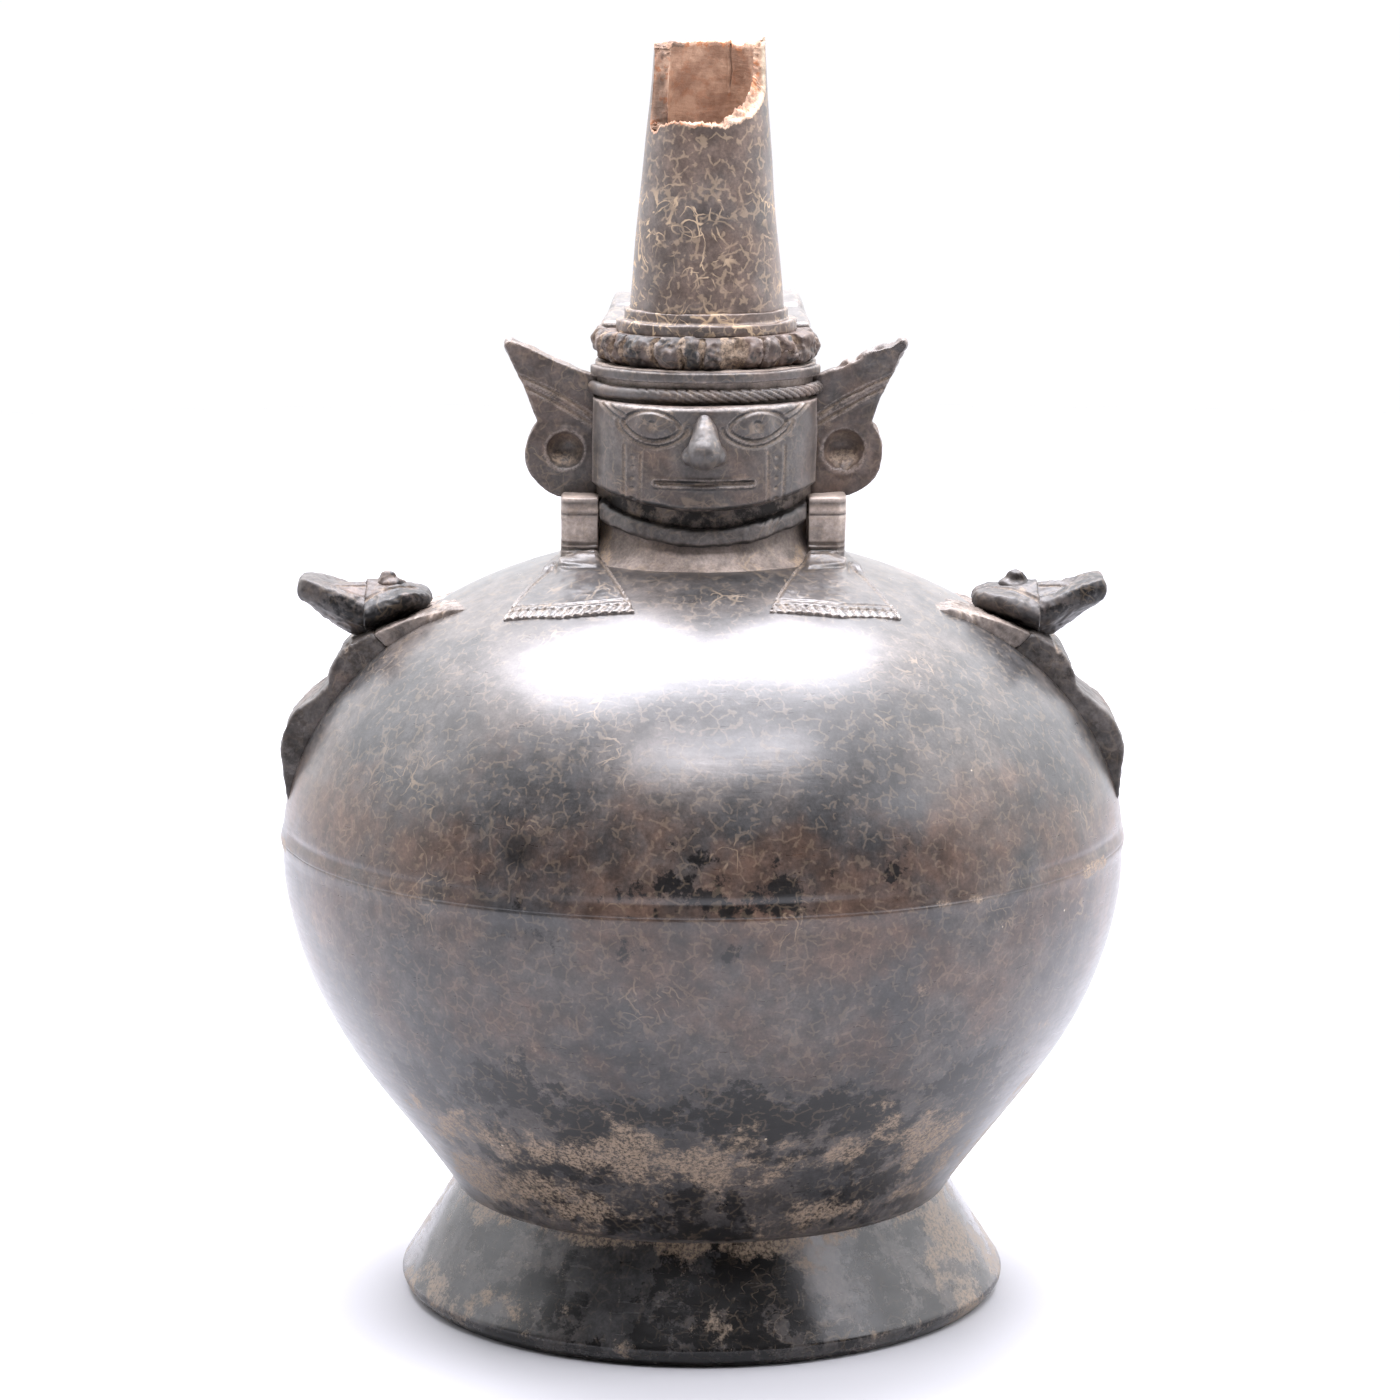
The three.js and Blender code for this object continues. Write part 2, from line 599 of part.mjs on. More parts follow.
// One winged ear for the given side: a swept wing above, a round spool with a cup below
function ear(side) {
  const root = NECK_RADIUS - EAR_ROOT_DEPTH;
  const spoolX = root + EAR_SPOOL_RADIUS * 0.824;
  const notch = EAR_SPOOL_LEVEL + EAR_SPOOL_RADIUS * 0.82;
  const tipX = NECK_RADIUS + EAR_SPAN;
  const tipLevel = notch + EAR_WING_RISE;
  const spool = new THREE.Shape();
  spool.absarc(spoolX, EAR_SPOOL_LEVEL, EAR_SPOOL_RADIUS, 0, Math.PI * 2);
  const wing = new THREE.Shape();
  wing.moveTo(root, EAR_SPOOL_LEVEL - EAR_SPOOL_RADIUS * 0.9);
  wing.lineTo(spoolX, EAR_SPOOL_LEVEL - EAR_SPOOL_RADIUS * 0.6);
  wing.lineTo(spoolX + EAR_SPOOL_RADIUS * 0.4, notch);
  const rootLevel = notch + EAR_WING_RISE * 0.52;
  wing.quadraticCurveTo(tipX - EAR_SPAN * 0.28, notch + EAR_WING_RISE * 0.5, tipX, tipLevel);
  wing.quadraticCurveTo(tipX - EAR_SPAN * 0.5, tipLevel - EAR_WING_RISE * 0.16, root, rootLevel);
  const back = -EAR_SET_BACK + EAR_THICKNESS / 2;
  const cup = new THREE.SphereGeometry(1, 20, 10);
  cup.scale(EAR_CUP_RADIUS, EAR_CUP_DEPTH, EAR_CUP_RADIUS);
  cup.translate(spoolX, back - EAR_THICKNESS, EAR_SPOOL_LEVEL);
  const plate = frontPlate(spool, back, EAR_THICKNESS, EAR_EDGE)
    .add(frontPlate(wing, back - EAR_THICKNESS * 0.06, EAR_THICKNESS * 0.88, EAR_EDGE * 0.8))
    .subtract(asSolid(cup))
    .subtract(headBody());
  return side > 0 ? plate : plate.mirror([1, 0, 0]);
}

// The collar of the dress: a band under the chin, its ends a little higher than its middle
function necklace() {
  const inner = NECK_RADIUS - NECKLACE_ROOT_DEPTH;
  const outer = NECK_RADIUS + NECKLACE_RELIEF;
  const level = CHIN_LEVEL - NECKLACE_HEIGHT - NECKLACE_DROP;
  const ring = turned([
    [inner, 0],
    [outer - NECKLACE_RELIEF * 0.3, 0],
    [outer, NECKLACE_HEIGHT * 0.25],
    [outer - NECKLACE_RELIEF * 0.15, NECKLACE_HEIGHT * 0.8],
    [outer - NECKLACE_RELIEF * 0.5, NECKLACE_HEIGHT],
    [inner, NECKLACE_HEIGHT],
  ], SMALL_SEGMENTS);
  const tilted = ring
    .translate([0, NECK_RADIUS, 0])
    .rotate([NECKLACE_TILT, 0, 0])
    .translate([0, -NECK_RADIUS, level]);
  const reach = NECK_RADIUS * 2;
  const end = LAPPET_INNER - LUTE_GAP;
  const front = outline([
    [-end, FRONT_OF_EARS - LAPPET_DEPTH * 0.2],
    [-end, -reach],
    [end, -reach],
    [end, FRONT_OF_EARS - LAPPET_DEPTH * 0.2],
  ]);
  return tilted
    .intersect(planPrism(front, level - DOME_HEIGHT, level + DOME_HEIGHT))
    .subtract(headBody());
}

// One hanging band: a flat pillar beside the neck that spreads into a panel on the shoulder
function lappet(side) {
  const inner = LAPPET_INNER;
  const outer = inner + LAPPET_WIDTH;
  const front = -EAR_SET_BACK - LAPPET_DEPTH;
  const back = -EAR_SET_BACK + LAPPET_BACK;
  const top = EAR_SPOOL_LEVEL - EAR_SPOOL_RADIUS - LUTE_GAP;
  const pillar = planPrism(outline([
    [inner, back],
    [inner, front],
    [outer - LAPPET_EDGE, front],
    [outer, front + LAPPET_EDGE],
    [outer, back],
  ]), NECK_LEVEL - DOME_HEIGHT / 3, top);
  const hem = front - LAPPET_FLARE_REACH;
  const hemStart = inner * 0.62;
  const panel = planPrism(outline([
    [inner, front + LAPPET_DEPTH * 0.3],
    [inner * 0.9, front - LAPPET_FLARE_REACH * 0.33],
    [hemStart, hem - LAPPET_FLARE_REACH * 0.25],
    [hemStart + LAPPET_HEM * 0.55, hem - LAPPET_FLARE_REACH * 0.12],
    [hemStart + LAPPET_HEM, hem + LAPPET_FLARE_REACH * 0.16],
    [outer + LAPPET_WIDTH * 0.3, front + LAPPET_DEPTH * 0.3],
    [outer, back - LAPPET_BACK],
    [inner, back - LAPPET_BACK],
  ]), SEAM_LEVEL, NECK_LEVEL + LAPPET_RELIEF);
  const draped = panel.intersect(domeBody(LAPPET_RELIEF));
  const whole = pillar.add(draped).subtract(domeBody(LUTE_GAP)).subtract(headBody());
  return side > 0 ? whole : whole.mirror([1, 0, 0]);
}

// The strap handle, from behind the collar over and down to the back of the dome
function strapHandle() {
  const half = STRAP_WIDTH / 2;
  const topHalf = STRAP_TOP_WIDTH / 2;
  const peak = CROWN_TOP + STRAP_CROWN + STRAP_THICKNESS;
  const shape = new THREE.Shape();
  shape.moveTo(-half, SEAM_LEVEL);
  shape.lineTo(half, SEAM_LEVEL);
  shape.lineTo(half, CROWN_TOP - STRAP_THICKNESS);
  shape.quadraticCurveTo(half, CROWN_TOP, topHalf, peak);
  shape.lineTo(-topHalf, peak);
  shape.quadraticCurveTo(-half, CROWN_TOP, -half, CROWN_TOP - STRAP_THICKNESS);
  return sidePlate(strapOutline(), STRAP_WIDTH, STRAP_EDGE)
    .intersect(frontPlate(shape, DOME_RADIUS, DOME_RADIUS * 2))
    .subtract(domeBody(LUTE_GAP))
    .subtract(headBody());
}

// The strap seen from the side: its middle line, thickened to both sides
function strapOutline() {
  const top = CROWN_TOP + STRAP_CROWN;
  const drop = top - NECK_LEVEL;
  const middle = new THREE.CatmullRomCurve3([
    [COLLAR_STEP_RADIUS * 0.88, 0.045],
    [STRAP_REACH * 0.41, 0.012],
    [STRAP_REACH * 0.57, 0.095],
    [STRAP_REACH * 0.78, 0.4],
    [STRAP_REACH * 0.92, 0.79],
    [STRAP_REACH, 1.2],
    [STRAP_REACH * 0.985, 1.6],
  ].map(([y, share]) => new THREE.Vector3(0, y, top - drop * share)), false, 'centripetal');
  const steps = 16;
  const upper = [];
  const lower = [];
  for (let i = 0; i <= steps; i += 1) {
    const place = middle.getPointAt(i / steps);
    const along = middle.getTangentAt(i / steps).multiplyScalar(STRAP_THICKNESS / 2);
    upper.push([place.y + along.z, place.z - along.y]);
    lower.push([place.y - along.z, place.z + along.y]);
  }
  return outline([...upper, ...lower.reverse()]);
}

// A long slab that lies on the dome between two angles, with its top at the listed heights
function domeSlab(stations, width, bevel = 0) {
  const top = stations.map(([angle, height]) => onDome(angle, height));
  const first = stations[0][0];
  const last = stations[stations.length - 1][0];
  const underside = domeArc(last, first, -DOME_WALL / 2, 4);
  return frontPlate(outline([...top, ...underside]), width / 2, width, bevel);
}

// A piece of the attendant, moved forward to its place and cut to the dome or to what lies there
function seated(solid, clearance = LUTE_GAP) {
  return solid.translate([0, -FIGURE_SET_FORWARD, 0]).subtract(domeBody(clearance));
}

// The attendant's trunk and legs, with the step of the belt between them
function figureBody() {
  const neckAngle = radians(FIGURE_NECK_ANGLE);
  const beltAngle = radians(FIGURE_BELT_ANGLE);
  const footAngle = radians(FIGURE_FOOT_ANGLE);
  return seated(domeSlab([
    [neckAngle + radians(2), FIGURE_THICKNESS * 0.8],
    [neckAngle - radians(2), FIGURE_THICKNESS],
    [beltAngle + radians(4.5), FIGURE_THICKNESS * 0.98],
    [beltAngle + radians(1.2), FIGURE_THICKNESS * 0.72],
    [beltAngle, FIGURE_THICKNESS * 0.48],
    [beltAngle - radians(2.5), FIGURE_THICKNESS * 0.56],
    [beltAngle - radians(6.4), FIGURE_THICKNESS * 0.86],
    [footAngle + radians(8), FIGURE_THICKNESS],
    [footAngle + radians(6.4), FIGURE_THICKNESS * 0.93],
    [footAngle, FIGURE_THICKNESS * 0.2],
  ], FIGURE_WIDTH, FIGURE_EDGE));
}

// One arm, stretched over the shoulder of the vessel with the hand at its inner end
function figureArm(side) {
  const shoulder = radians(ARM_START_ANGLE);
  const hand = shoulder + radians(ARM_LENGTH_ANGLE);
  const stations = [0, 0.25, 0.5, 0.75, 1].map((share) => [
    shoulder + (hand - shoulder) * share,
    ARM_THICKNESS * (1 - 0.4 * share),
  ]);
  const [shoulderX] = onDome(shoulder, ARM_THICKNESS);
  const [handX] = onDome(hand);
  const shoulderY = FIGURE_WIDTH / 2 - ARM_WIDTH / 2 - FIGURE_EDGE;
  const handY = HAND_SPREAD / 2;
  const wristX = handX + (shoulderX - handX) * 0.5;
  const wristY = (shoulderY + handY) / 2;
  const plan = outline([
    [shoulderX + ARM_THICKNESS, side * (shoulderY - ARM_WIDTH / 2)],
    [shoulderX + ARM_THICKNESS, side * (shoulderY + ARM_WIDTH / 2)],
    [wristX, side * (wristY + ARM_WIDTH / 2)],
    [handX + HAND_WIDTH * 0.25, side * (handY + HAND_WIDTH / 2)],
    [handX + HAND_WIDTH * 0.05, side * (handY + HAND_WIDTH * 0.42)],
    [handX, side * (handY - HAND_WIDTH / 2)],
    [wristX, side * (wristY - ARM_WIDTH / 2)],
  ]);
  const slab = domeSlab(stations, HAND_SPREAD + HAND_WIDTH * 2);
  return seated(slab.intersect(planPrism(plan, SEAM_LEVEL, NECK_LEVEL)));
}

// The head: a leaf-shaped mask that droops to both sides, on a short neck
function figureHead() {
  const { seatLevel, waistX, chinX } = figureHeadPlaces();
  const ridge = seatLevel + FIGURE_HEAD_RISE;
  const half = FIGURE_HEAD_WIDTH / 2;
  const middleX = waistX - FIGURE_HEAD_LENGTH / 2;
  const plan = new THREE.Shape();
  plan.moveTo(waistX, -half);
  plan.bezierCurveTo(middleX, -half * 0.8, chinX, -half * 0.5, chinX, -FIGURE_CHIN_WIDTH / 2);
  plan.lineTo(chinX, FIGURE_CHIN_WIDTH / 2);
  plan.bezierCurveTo(chinX, half * 0.5, middleX, half * 0.8, waistX, half);
  const throatStart = waistX - FIGURE_THROAT * 0.75;
  const throat = planPrism(outline([
    [throatStart, -FIGURE_THROAT / 2],
    [waistX, -FIGURE_THROAT / 2],
    [waistX, FIGURE_THROAT / 2],
    [throatStart, FIGURE_THROAT / 2],
  ]), seatLevel - DOME_HEIGHT / 4, ridge - LEAF_THICKNESS);
  const leaf = planPrism(plan, SEAM_LEVEL, ridge + LEAF_THICKNESS).intersect(saddle(chinX, waistX, ridge));
  return seated(leaf.add(throat), FIGURE_THICKNESS + LUTE_GAP);
}

// The hat: a rounded tongue that flares up and back from the neck
function figureHat() {
  const { seatLevel, waistX } = figureHeadPlaces();
  const start = waistX + LUTE_GAP;
  const end = start + HAT_LENGTH;
  const middleX = (start + end) / 2;
  const half = HAT_WIDTH / 2;
  const plan = new THREE.Shape();
  plan.moveTo(start, -half);
  plan.bezierCurveTo(middleX, -half, end, -half * 0.75, end, -HAT_TIP_WIDTH / 2);
  plan.lineTo(end, HAT_TIP_WIDTH / 2);
  plan.bezierCurveTo(end, half * 0.75, middleX, half, start, half);
  const ridge = seatLevel + HAT_RISE;
  return seated(planPrism(plan, SEAM_LEVEL, ridge + LEAF_THICKNESS).intersect(saddle(start, end, ridge)));
}

function figureNose() {
  const { seatLevel, waistX } = figureHeadPlaces();
  const base = seatLevel + FIGURE_HEAD_RISE + LUTE_GAP;
  const end = waistX - FIGURE_HEAD_LENGTH * 0.1;
  const profile = outline([
    [end - FIGURE_NOSE_LENGTH, base],
    [end - FIGURE_NOSE_LENGTH * 0.95, base + FIGURE_NOSE_HEIGHT],
    [end - FIGURE_NOSE_LENGTH * 0.4, base + FIGURE_NOSE_HEIGHT * 0.9],
    [end, base],
  ]);
  return seated(frontPlate(profile, FIGURE_NOSE_WIDTH / 2, FIGURE_NOSE_WIDTH, FIGURE_NOSE_WIDTH * 0.1));
}

function figureHeadPlaces() {
  const [seatX, seatLevel] = onDome(radians(FIGURE_NECK_ANGLE));
  const waistX = seatX + FIGURE_WAIST_SET_BACK;
  return { seatLevel, waistX, chinX: waistX - FIGURE_HEAD_LENGTH };
}

// The saddle that head and hat are cut from: level along its ridge, drooping to both sides
function saddle(from, to, ridge) {
  const steps = 5;
  const reach = FIGURE_HEAD_WIDTH / 2 + 1;
  const level = (y) => ridge + LEAF_SLOPE - LEAF_SLOPE * Math.sqrt(y * y + 1);
  const across = Array.from({ length: steps * 2 + 1 }, (_, i) => (reach * (i - steps)) / steps);
  const top = across.map((y) => [y, level(y)]);
  const bottom = across.map((y) => [y, level(y) - LEAF_THICKNESS]).reverse();
  const middle = (from + to) / 2;
  return sidePlate(outline([...top, ...bottom]), to - from).translate([middle, 0, 0]);
}

// A named mesh from a solid
function piece(name, solid, finish) {
  const mesh = solid.getMesh();
  const geometry = new THREE.BufferGeometry();
  geometry.setAttribute('position', new THREE.BufferAttribute(mesh.vertProperties, 3));
  geometry.setIndex(new THREE.BufferAttribute(mesh.triVerts, 1));
  geometry.computeVertexNormals();
  const result = new THREE.Mesh(geometry, new THREE.MeshStandardMaterial(finish));
  result.name = name;
  return result;
}

const group = new THREE.Group();

group.add(
  piece('foot_ring', footRing(), DARK_WARE),
  piece('lower_bowl', lowerBowl(), DARK_WARE),
  piece('upper_dome', upperDome(), GREY_WARE),
  piece('neck', neck(), GREY_WARE),
  piece('crown_roll', crownRoll(), BROWN_WARE),
  piece('spout_collar', spoutCollar(), BROWN_WARE),
  piece('spout', spout(), BROWN_WARE),
  piece('face_mask', faceMask(), GREY_WARE),
  piece('nose', nose(), GREY_WARE),
  piece('headband', foreheadBand(HEADBAND_LEVEL, HEADBAND_HEIGHT, BAND_RELIEF), GREY_WARE),
  piece('cord_band', foreheadBand(CORD_BAND_LEVEL, CORD_BAND_HEIGHT, CORD_RELIEF), GREY_WARE),
  piece('ear_wing_right', ear(1), GREY_WARE),
  piece('ear_wing_left', ear(-1), GREY_WARE),
  piece('necklace', necklace(), GREY_WARE),
  piece('lappet_right', lappet(1), GREY_WARE),
  piece('lappet_left', lappet(-1), GREY_WARE),
  piece('strap_handle', strapHandle(), DARK_WARE),
);

// The two attendants are alike; the left one is the right one seen in a mirror
const figurePieces = {
  body: figureBody(),
  arm_front: figureArm(-1),
  arm_rear: figureArm(1),
  head: figureHead(),
  hat: figureHat(),
  nose: figureNose(),
};
for (const [side, mirror] of [['right', false], ['left', true]]) {
  const figure = new THREE.Group();
  for (const [name, solid] of Object.entries(figurePieces)) {
    figure.add(piece(`attendant_${side}_${name}`, mirror ? solid.mirror([1, 0, 0]) : solid, GREY_WARE));
  }
  group.add(figure);
}

export default group;
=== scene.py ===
import itertools
import math
from dataclasses import dataclass

import bmesh
import bpy
import numpy as np
from mathutils import Matrix, Vector
from mathutils.geometry import interpolate_bezier


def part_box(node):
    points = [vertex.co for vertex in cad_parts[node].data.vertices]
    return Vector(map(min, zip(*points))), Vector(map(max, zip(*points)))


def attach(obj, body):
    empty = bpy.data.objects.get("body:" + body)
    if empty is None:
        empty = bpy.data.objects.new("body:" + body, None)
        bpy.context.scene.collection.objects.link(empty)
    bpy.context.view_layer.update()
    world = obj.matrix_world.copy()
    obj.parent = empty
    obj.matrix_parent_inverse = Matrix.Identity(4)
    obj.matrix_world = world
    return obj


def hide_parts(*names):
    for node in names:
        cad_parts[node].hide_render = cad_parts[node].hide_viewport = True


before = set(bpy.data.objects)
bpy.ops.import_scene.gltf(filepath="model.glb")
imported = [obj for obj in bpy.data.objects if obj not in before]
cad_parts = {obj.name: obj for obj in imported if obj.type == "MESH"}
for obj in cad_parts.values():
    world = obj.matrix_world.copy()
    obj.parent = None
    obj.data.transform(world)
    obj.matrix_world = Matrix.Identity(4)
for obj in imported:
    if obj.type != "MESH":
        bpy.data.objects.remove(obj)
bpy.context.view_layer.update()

bl_info = {
    "name": "Blackware Bottle",
    "version": (1, 0, 0),
    "blender": (4, 5, 0),
    "location": "View3D > Sidebar > Bottle",
    "description": "Dresses the construction model of a burnished blackware bottle with a face neck",
    "category": "Add Mesh",
}

# Shapes are worked out in millimetres and turned to metres when a piece is finished
MM = 0.001


def span(node):
    """The lowest and the highest corner of a CAD node, in millimetres."""
    low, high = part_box(node)
    return np.array(low) / MM, np.array(high) / MM


# Radii and top levels of the turned pieces, as the frame gives them
(
    (FOOT_RADIUS, WAIST), (BOWL_RADIUS, SEAM), (DOME_RADIUS, NECK_SEAT), (NECK_ROOT, HEAD_TOP),
    (CROWN_RADIUS, CROWN_TOP), (COLLAR_RADIUS, COLLAR_TOP), (SPOUT_FOOT_RADIUS, SPOUT_TOP),
) = (
    span(node)[1][[0, 2]]
    for node in ("foot_ring", "lower_bowl", "upper_dome", "neck", "crown_roll", "spout_collar", "spout")
)
MASK_LOW, MASK_HIGH = span("face_mask")
HEADBAND_LOW, HEADBAND_HIGH = span("headband")
CORD_LOW, CORD_HIGH = span("cord_band")
EAR_LOW, EAR_HIGH = span("ear_wing_right")
LAPPET_LOW, LAPPET_HIGH = span("lappet_right")
STRAP_HALF = span("strap_handle")[1][0]
SIDES = ((1, "right"), (-1, "left"))

# Walls and curves of the vessel
WAIST_RADIUS = 51.1
WAIST_ANGLE = math.radians(57)
DOME_HEIGHT = 60.0
BOWL_BASE_DEPTH = 12.5
BASE_SEAT = WAIST_RADIUS - 5
FOOT_REST_RADIUS = 60.3
FOOT_REST_WIDTH = 7.5
FOOT_LIP_LEVEL = 4.4
WALL = 4.6
NECK_RADIUS = 22.4
NECK_BORE = 17.4
SPOUT_BORE = 13.3
SPOUT_RIM_RADIUS = 11.1
SPOUT_WALL = 2.4
COLLAR_STEP_RADIUS = 16.7
COLLAR_STEP = CROWN_TOP + 2.2

# The head and spout lean to the right by this much at the rim, as hand-built ones do
LEAN = 1.5
LEAN_FROM = NECK_SEAT - 3

ROUND_STEPS = 256

# Shallow hollows that the potter's thumb left on the shoulder: place, reach and depth
HOLLOWS = (
    ((8, -58, 134), 11, 0.3),
    ((30, -60, 122), 15, 0.25),
    ((-26, -54, 136), 9, -0.12),
)


def srgb(hex_colour):
    """A hex colour as the linear RGBA that shaders take."""
    shares = [int(hex_colour[i:i + 2], 16) / 255 for i in (0, 2, 4)]
    linear = [s / 12.92 if s <= 0.04045 else ((s + 0.055) / 1.055) ** 2.4 for s in shares]
    return (*linear, 1.0)


# Points of a mesh as numbers, and back


def points_of(mesh, what="co"):
    values = np.empty(len(mesh.vertices) * 3)
    mesh.vertices.foreach_get(what, values)
    return values.reshape(-1, 3)


def normals_of(mesh):
    return points_of(mesh, "normal")


def move_points(mesh, points):
    mesh.vertices.foreach_set("co", points.ravel())
    mesh.update()


def swell(mesh, lift):
    """Moves each point out of the skin, along its normal."""
    move_points(mesh, points_of(mesh) + normals_of(mesh) * lift[:, None])


def read_mark(mesh, name):
    """A point attribute as numbers, zero where the mesh has none of that name."""
    values = np.zeros(len(mesh.vertices))
    if name in mesh.attributes:
        mesh.attributes[name].data.foreach_get("value", values)
    return values


def write_marks(mesh, **shares):
    """Shares from 0 to 1 on the points, such as soil or smoke, which the materials read."""
    for name, values in shares.items():
        if name not in mesh.attributes:
            mesh.attributes.new(name, "FLOAT", "POINT")
        mesh.attributes[name].data.foreach_set("value", np.clip(values, 0, 1))


def off_axis(points):
    return np.linalg.norm(points[:, :2], axis=1)


def smoothstep(values, low, high):
    share = np.clip((values - low) / (high - low), 0, 1)
    return share * share * (3 - 2 * share)


def bump(values, width, power=2):
    """1 where the values are zero, with a soft fall to nothing about that far to both sides."""
    return np.exp(-((values / width) ** power))


GRID_TURN = np.array(Matrix.Rotation(0.7, 3, Vector((1, 2, 3))))


def lattice(cells, seed):
    """A fixed value from -1 to 1 for each corner of a grid of cells."""
    mixed = cells @ np.array([73856093, 19349663, 83492791]) + seed * 104729
    mixed = (mixed ^ (mixed >> 13)) * 1274126177
    return ((mixed ^ (mixed >> 16)) & 0xFFFF) / 32767.5 - 1


def ripple(points, size, seed=0):
    """Smooth noise from -1 to 1 at every point, with bumps of about that size in millimetres."""
    place = points @ GRID_TURN / size + 1000
    low = np.floor(place)
    share = place - low
    share = share ** 3 * (share * (share * 6 - 15) + 10)
    low = low.astype(np.int64)
    total = np.zeros(len(points))
    for corner in itertools.product((0, 1), repeat=3):
        weight = np.prod(np.where(corner, share, 1 - share), axis=1)
        total += weight * lattice(low + np.array(corner), seed)
    return total


# Profiles: lists of (radius, level) places


def curve(start, leave, arrive, end, steps):
    """Places along a cubic curve."""
    knots = [Vector((place[0], place[1], 0)) for place in (start, leave, arrive, end)]
    return [(point.x, point.y) for point in interpolate_bezier(*knots, steps)]


def arc(centre, radius, start, turn, steps, closed=False):
    """Places along a part of a circle."""
    turns = [start + index / steps * turn for index in range(steps if closed else steps + 1)]
    return [(centre[0] + radius * math.cos(a), centre[1] + radius * math.sin(a)) for a in turns]


def rounded(corners, rounding, steps=4):
    """A closed profile through the corners, with each of them rounded off."""
    profile = []
    for index, corner in enumerate(corners):
        here = Vector(corner)
        before = Vector(corners[index - 1]) - here
        after = Vector(corners[(index + 1) % len(corners)]) - here
        reach = min(rounding, before.length * 0.45, after.length * 0.45)
        start = here + before.normalized() * reach
        end = here + after.normalized() * reach
        for step in range(steps + 1):
            share = step / steps
            place = start.lerp(here, share).lerp(here.lerp(end, share), share)
            profile.append((place.x, place.y))
    return profile


def on_line(start, end, share):
    return (start[0] + (end[0] - start[0]) * share, start[1] + (end[1] - start[1]) * share)


def spaced(profile, step, closed=True):
    """The same profile with long straight stretches cut into shorter ones."""
    ends = profile[1:] + profile[:1] if closed else profile[1:]
    places = []
    for start, end in zip(profile, ends):
        count = max(1, math.ceil(math.dist(start, end) / step))
        places.extend(on_line(start, end, index / count) for index in range(count))
    return places if closed else [*places, profile[-1]]


def closer(profile, level, reach, step):
    """The profile with the stretches near a level cut up finely."""
    places = []
    for start, end in zip(profile, profile[1:]):
        places.append(start)
        if abs(start[1] - level) < reach and abs(end[1] - level) < reach:
            places.extend(spaced([start, end], step, False)[1:-1])
    return [*places, profile[-1]]


def along(line, share):
    """The place at that share of a line of straight stretches."""
    lengths = [math.dist(a, b) for a, b in zip(line, line[1:])]
    left = share * sum(lengths)
    for start, end, length in zip(line, line[1:], lengths):
        if left <= length:
            return on_line(start, end, left / length)
        left -= length
    return line[-1]


# Solids


def as_mesh(shape, name):
    mesh = bpy.data.meshes.new(name)
    shape.to_mesh(mesh)
    shape.free()
    return mesh


def verts_in(geometry):
    return [item for item in geometry if isinstance(item, bmesh.types.BMVert)]


def turned(profile, name, steps=ROUND_STEPS, closed=True, start=0.0, turn=math.tau):
    """A mesh of the profile turned about the bottle's axis.

    A whole turn is spun as one sixteenth, which is then doubled four times, as that is quicker.
    """
    shape = bmesh.new()
    heading = Vector((math.cos(start), math.sin(start), 0))
    ring = [shape.verts.new(heading * radius + Vector((0, 0, level))) for radius, level in profile]
    pairs = list(zip(ring, ring[1:] + ring[:1])) if closed else list(zip(ring, ring[1:]))
    edges = [shape.edges.new(pair) for pair in pairs]
    whole = turn == math.tau
    parts = 16 if whole else 1
    if not whole:
        shape.faces.new(ring)
    result = bmesh.ops.spin(
        shape, geom=ring + edges, cent=(0, 0, 0), axis=(0, 0, 1), dvec=(0, 0, 0),
        angle=turn / parts, steps=steps // parts, use_merge=False, use_duplicate=False,
    )
    if not whole:
        last = [item for item in result["geom_last"] if isinstance(item, bmesh.types.BMEdge)]
        bmesh.ops.contextual_create(shape, geom=last)
    while parts > 1:
        parts //= 2
        copied = bmesh.ops.duplicate(shape, geom=[*shape.verts, *shape.edges, *shape.faces])["geom"]
        bmesh.ops.rotate(
            shape, verts=verts_in(copied), cent=(0, 0, 0),
            matrix=Matrix.Rotation(turn / 16 * (8 // parts), 3, "Z"),
        )
    bmesh.ops.remove_doubles(shape, verts=shape.verts, dist=0.001)
    bmesh.ops.recalc_face_normals(shape, faces=shape.faces)
    return as_mesh(shape, name)


def sleeve(columns, rows, place, capped=True):
    """A skin that closes round its first way, each point given by its two shares from 0 to 1.

    The second share stays on the points as the mark "row".
    """
    shape = bmesh.new()
    bmesh.ops.create_grid(shape, x_segments=columns, y_segments=rows, size=0.5)
    row = shape.verts.layers.float.new("row")
    shares = np.array([vert.co[:2] for vert in shape.verts]) + 0.5
    for vert, v, spot in zip(shape.verts, shares[:, 1], place(shares[:, 0], shares[:, 1])):
        vert[row] = v
        vert.co = spot
    bmesh.ops.remove_doubles(shape, verts=shape.verts, dist=0.0005)
    if capped:
        bmesh.ops.holes_fill(shape, edges=[edge for edge in shape.edges if edge.is_boundary])
    bmesh.ops.recalc_face_normals(shape, faces=shape.faces)
    return shape


def balls(lumps):
    """Balls of clay that overlap: (place, half sizes) pairs."""
    shape = bmesh.new()
    for place, size in lumps:
        bmesh.ops.create_uvsphere(
            shape, u_segments=32, v_segments=20, radius=1, matrix=Matrix.LocRotScale(place, None, size),
        )
    return shape


def copy_of(node):
    """A merged copy of a CAD node's solid, in millimetres."""
    shape = bmesh.new()
    shape.from_mesh(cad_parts[node].data)
    bmesh.ops.scale(shape, vec=(1 / MM,) * 3, verts=shape.verts)
    bmesh.ops.remove_doubles(shape, verts=shape.verts, dist=0.004)
    return shape


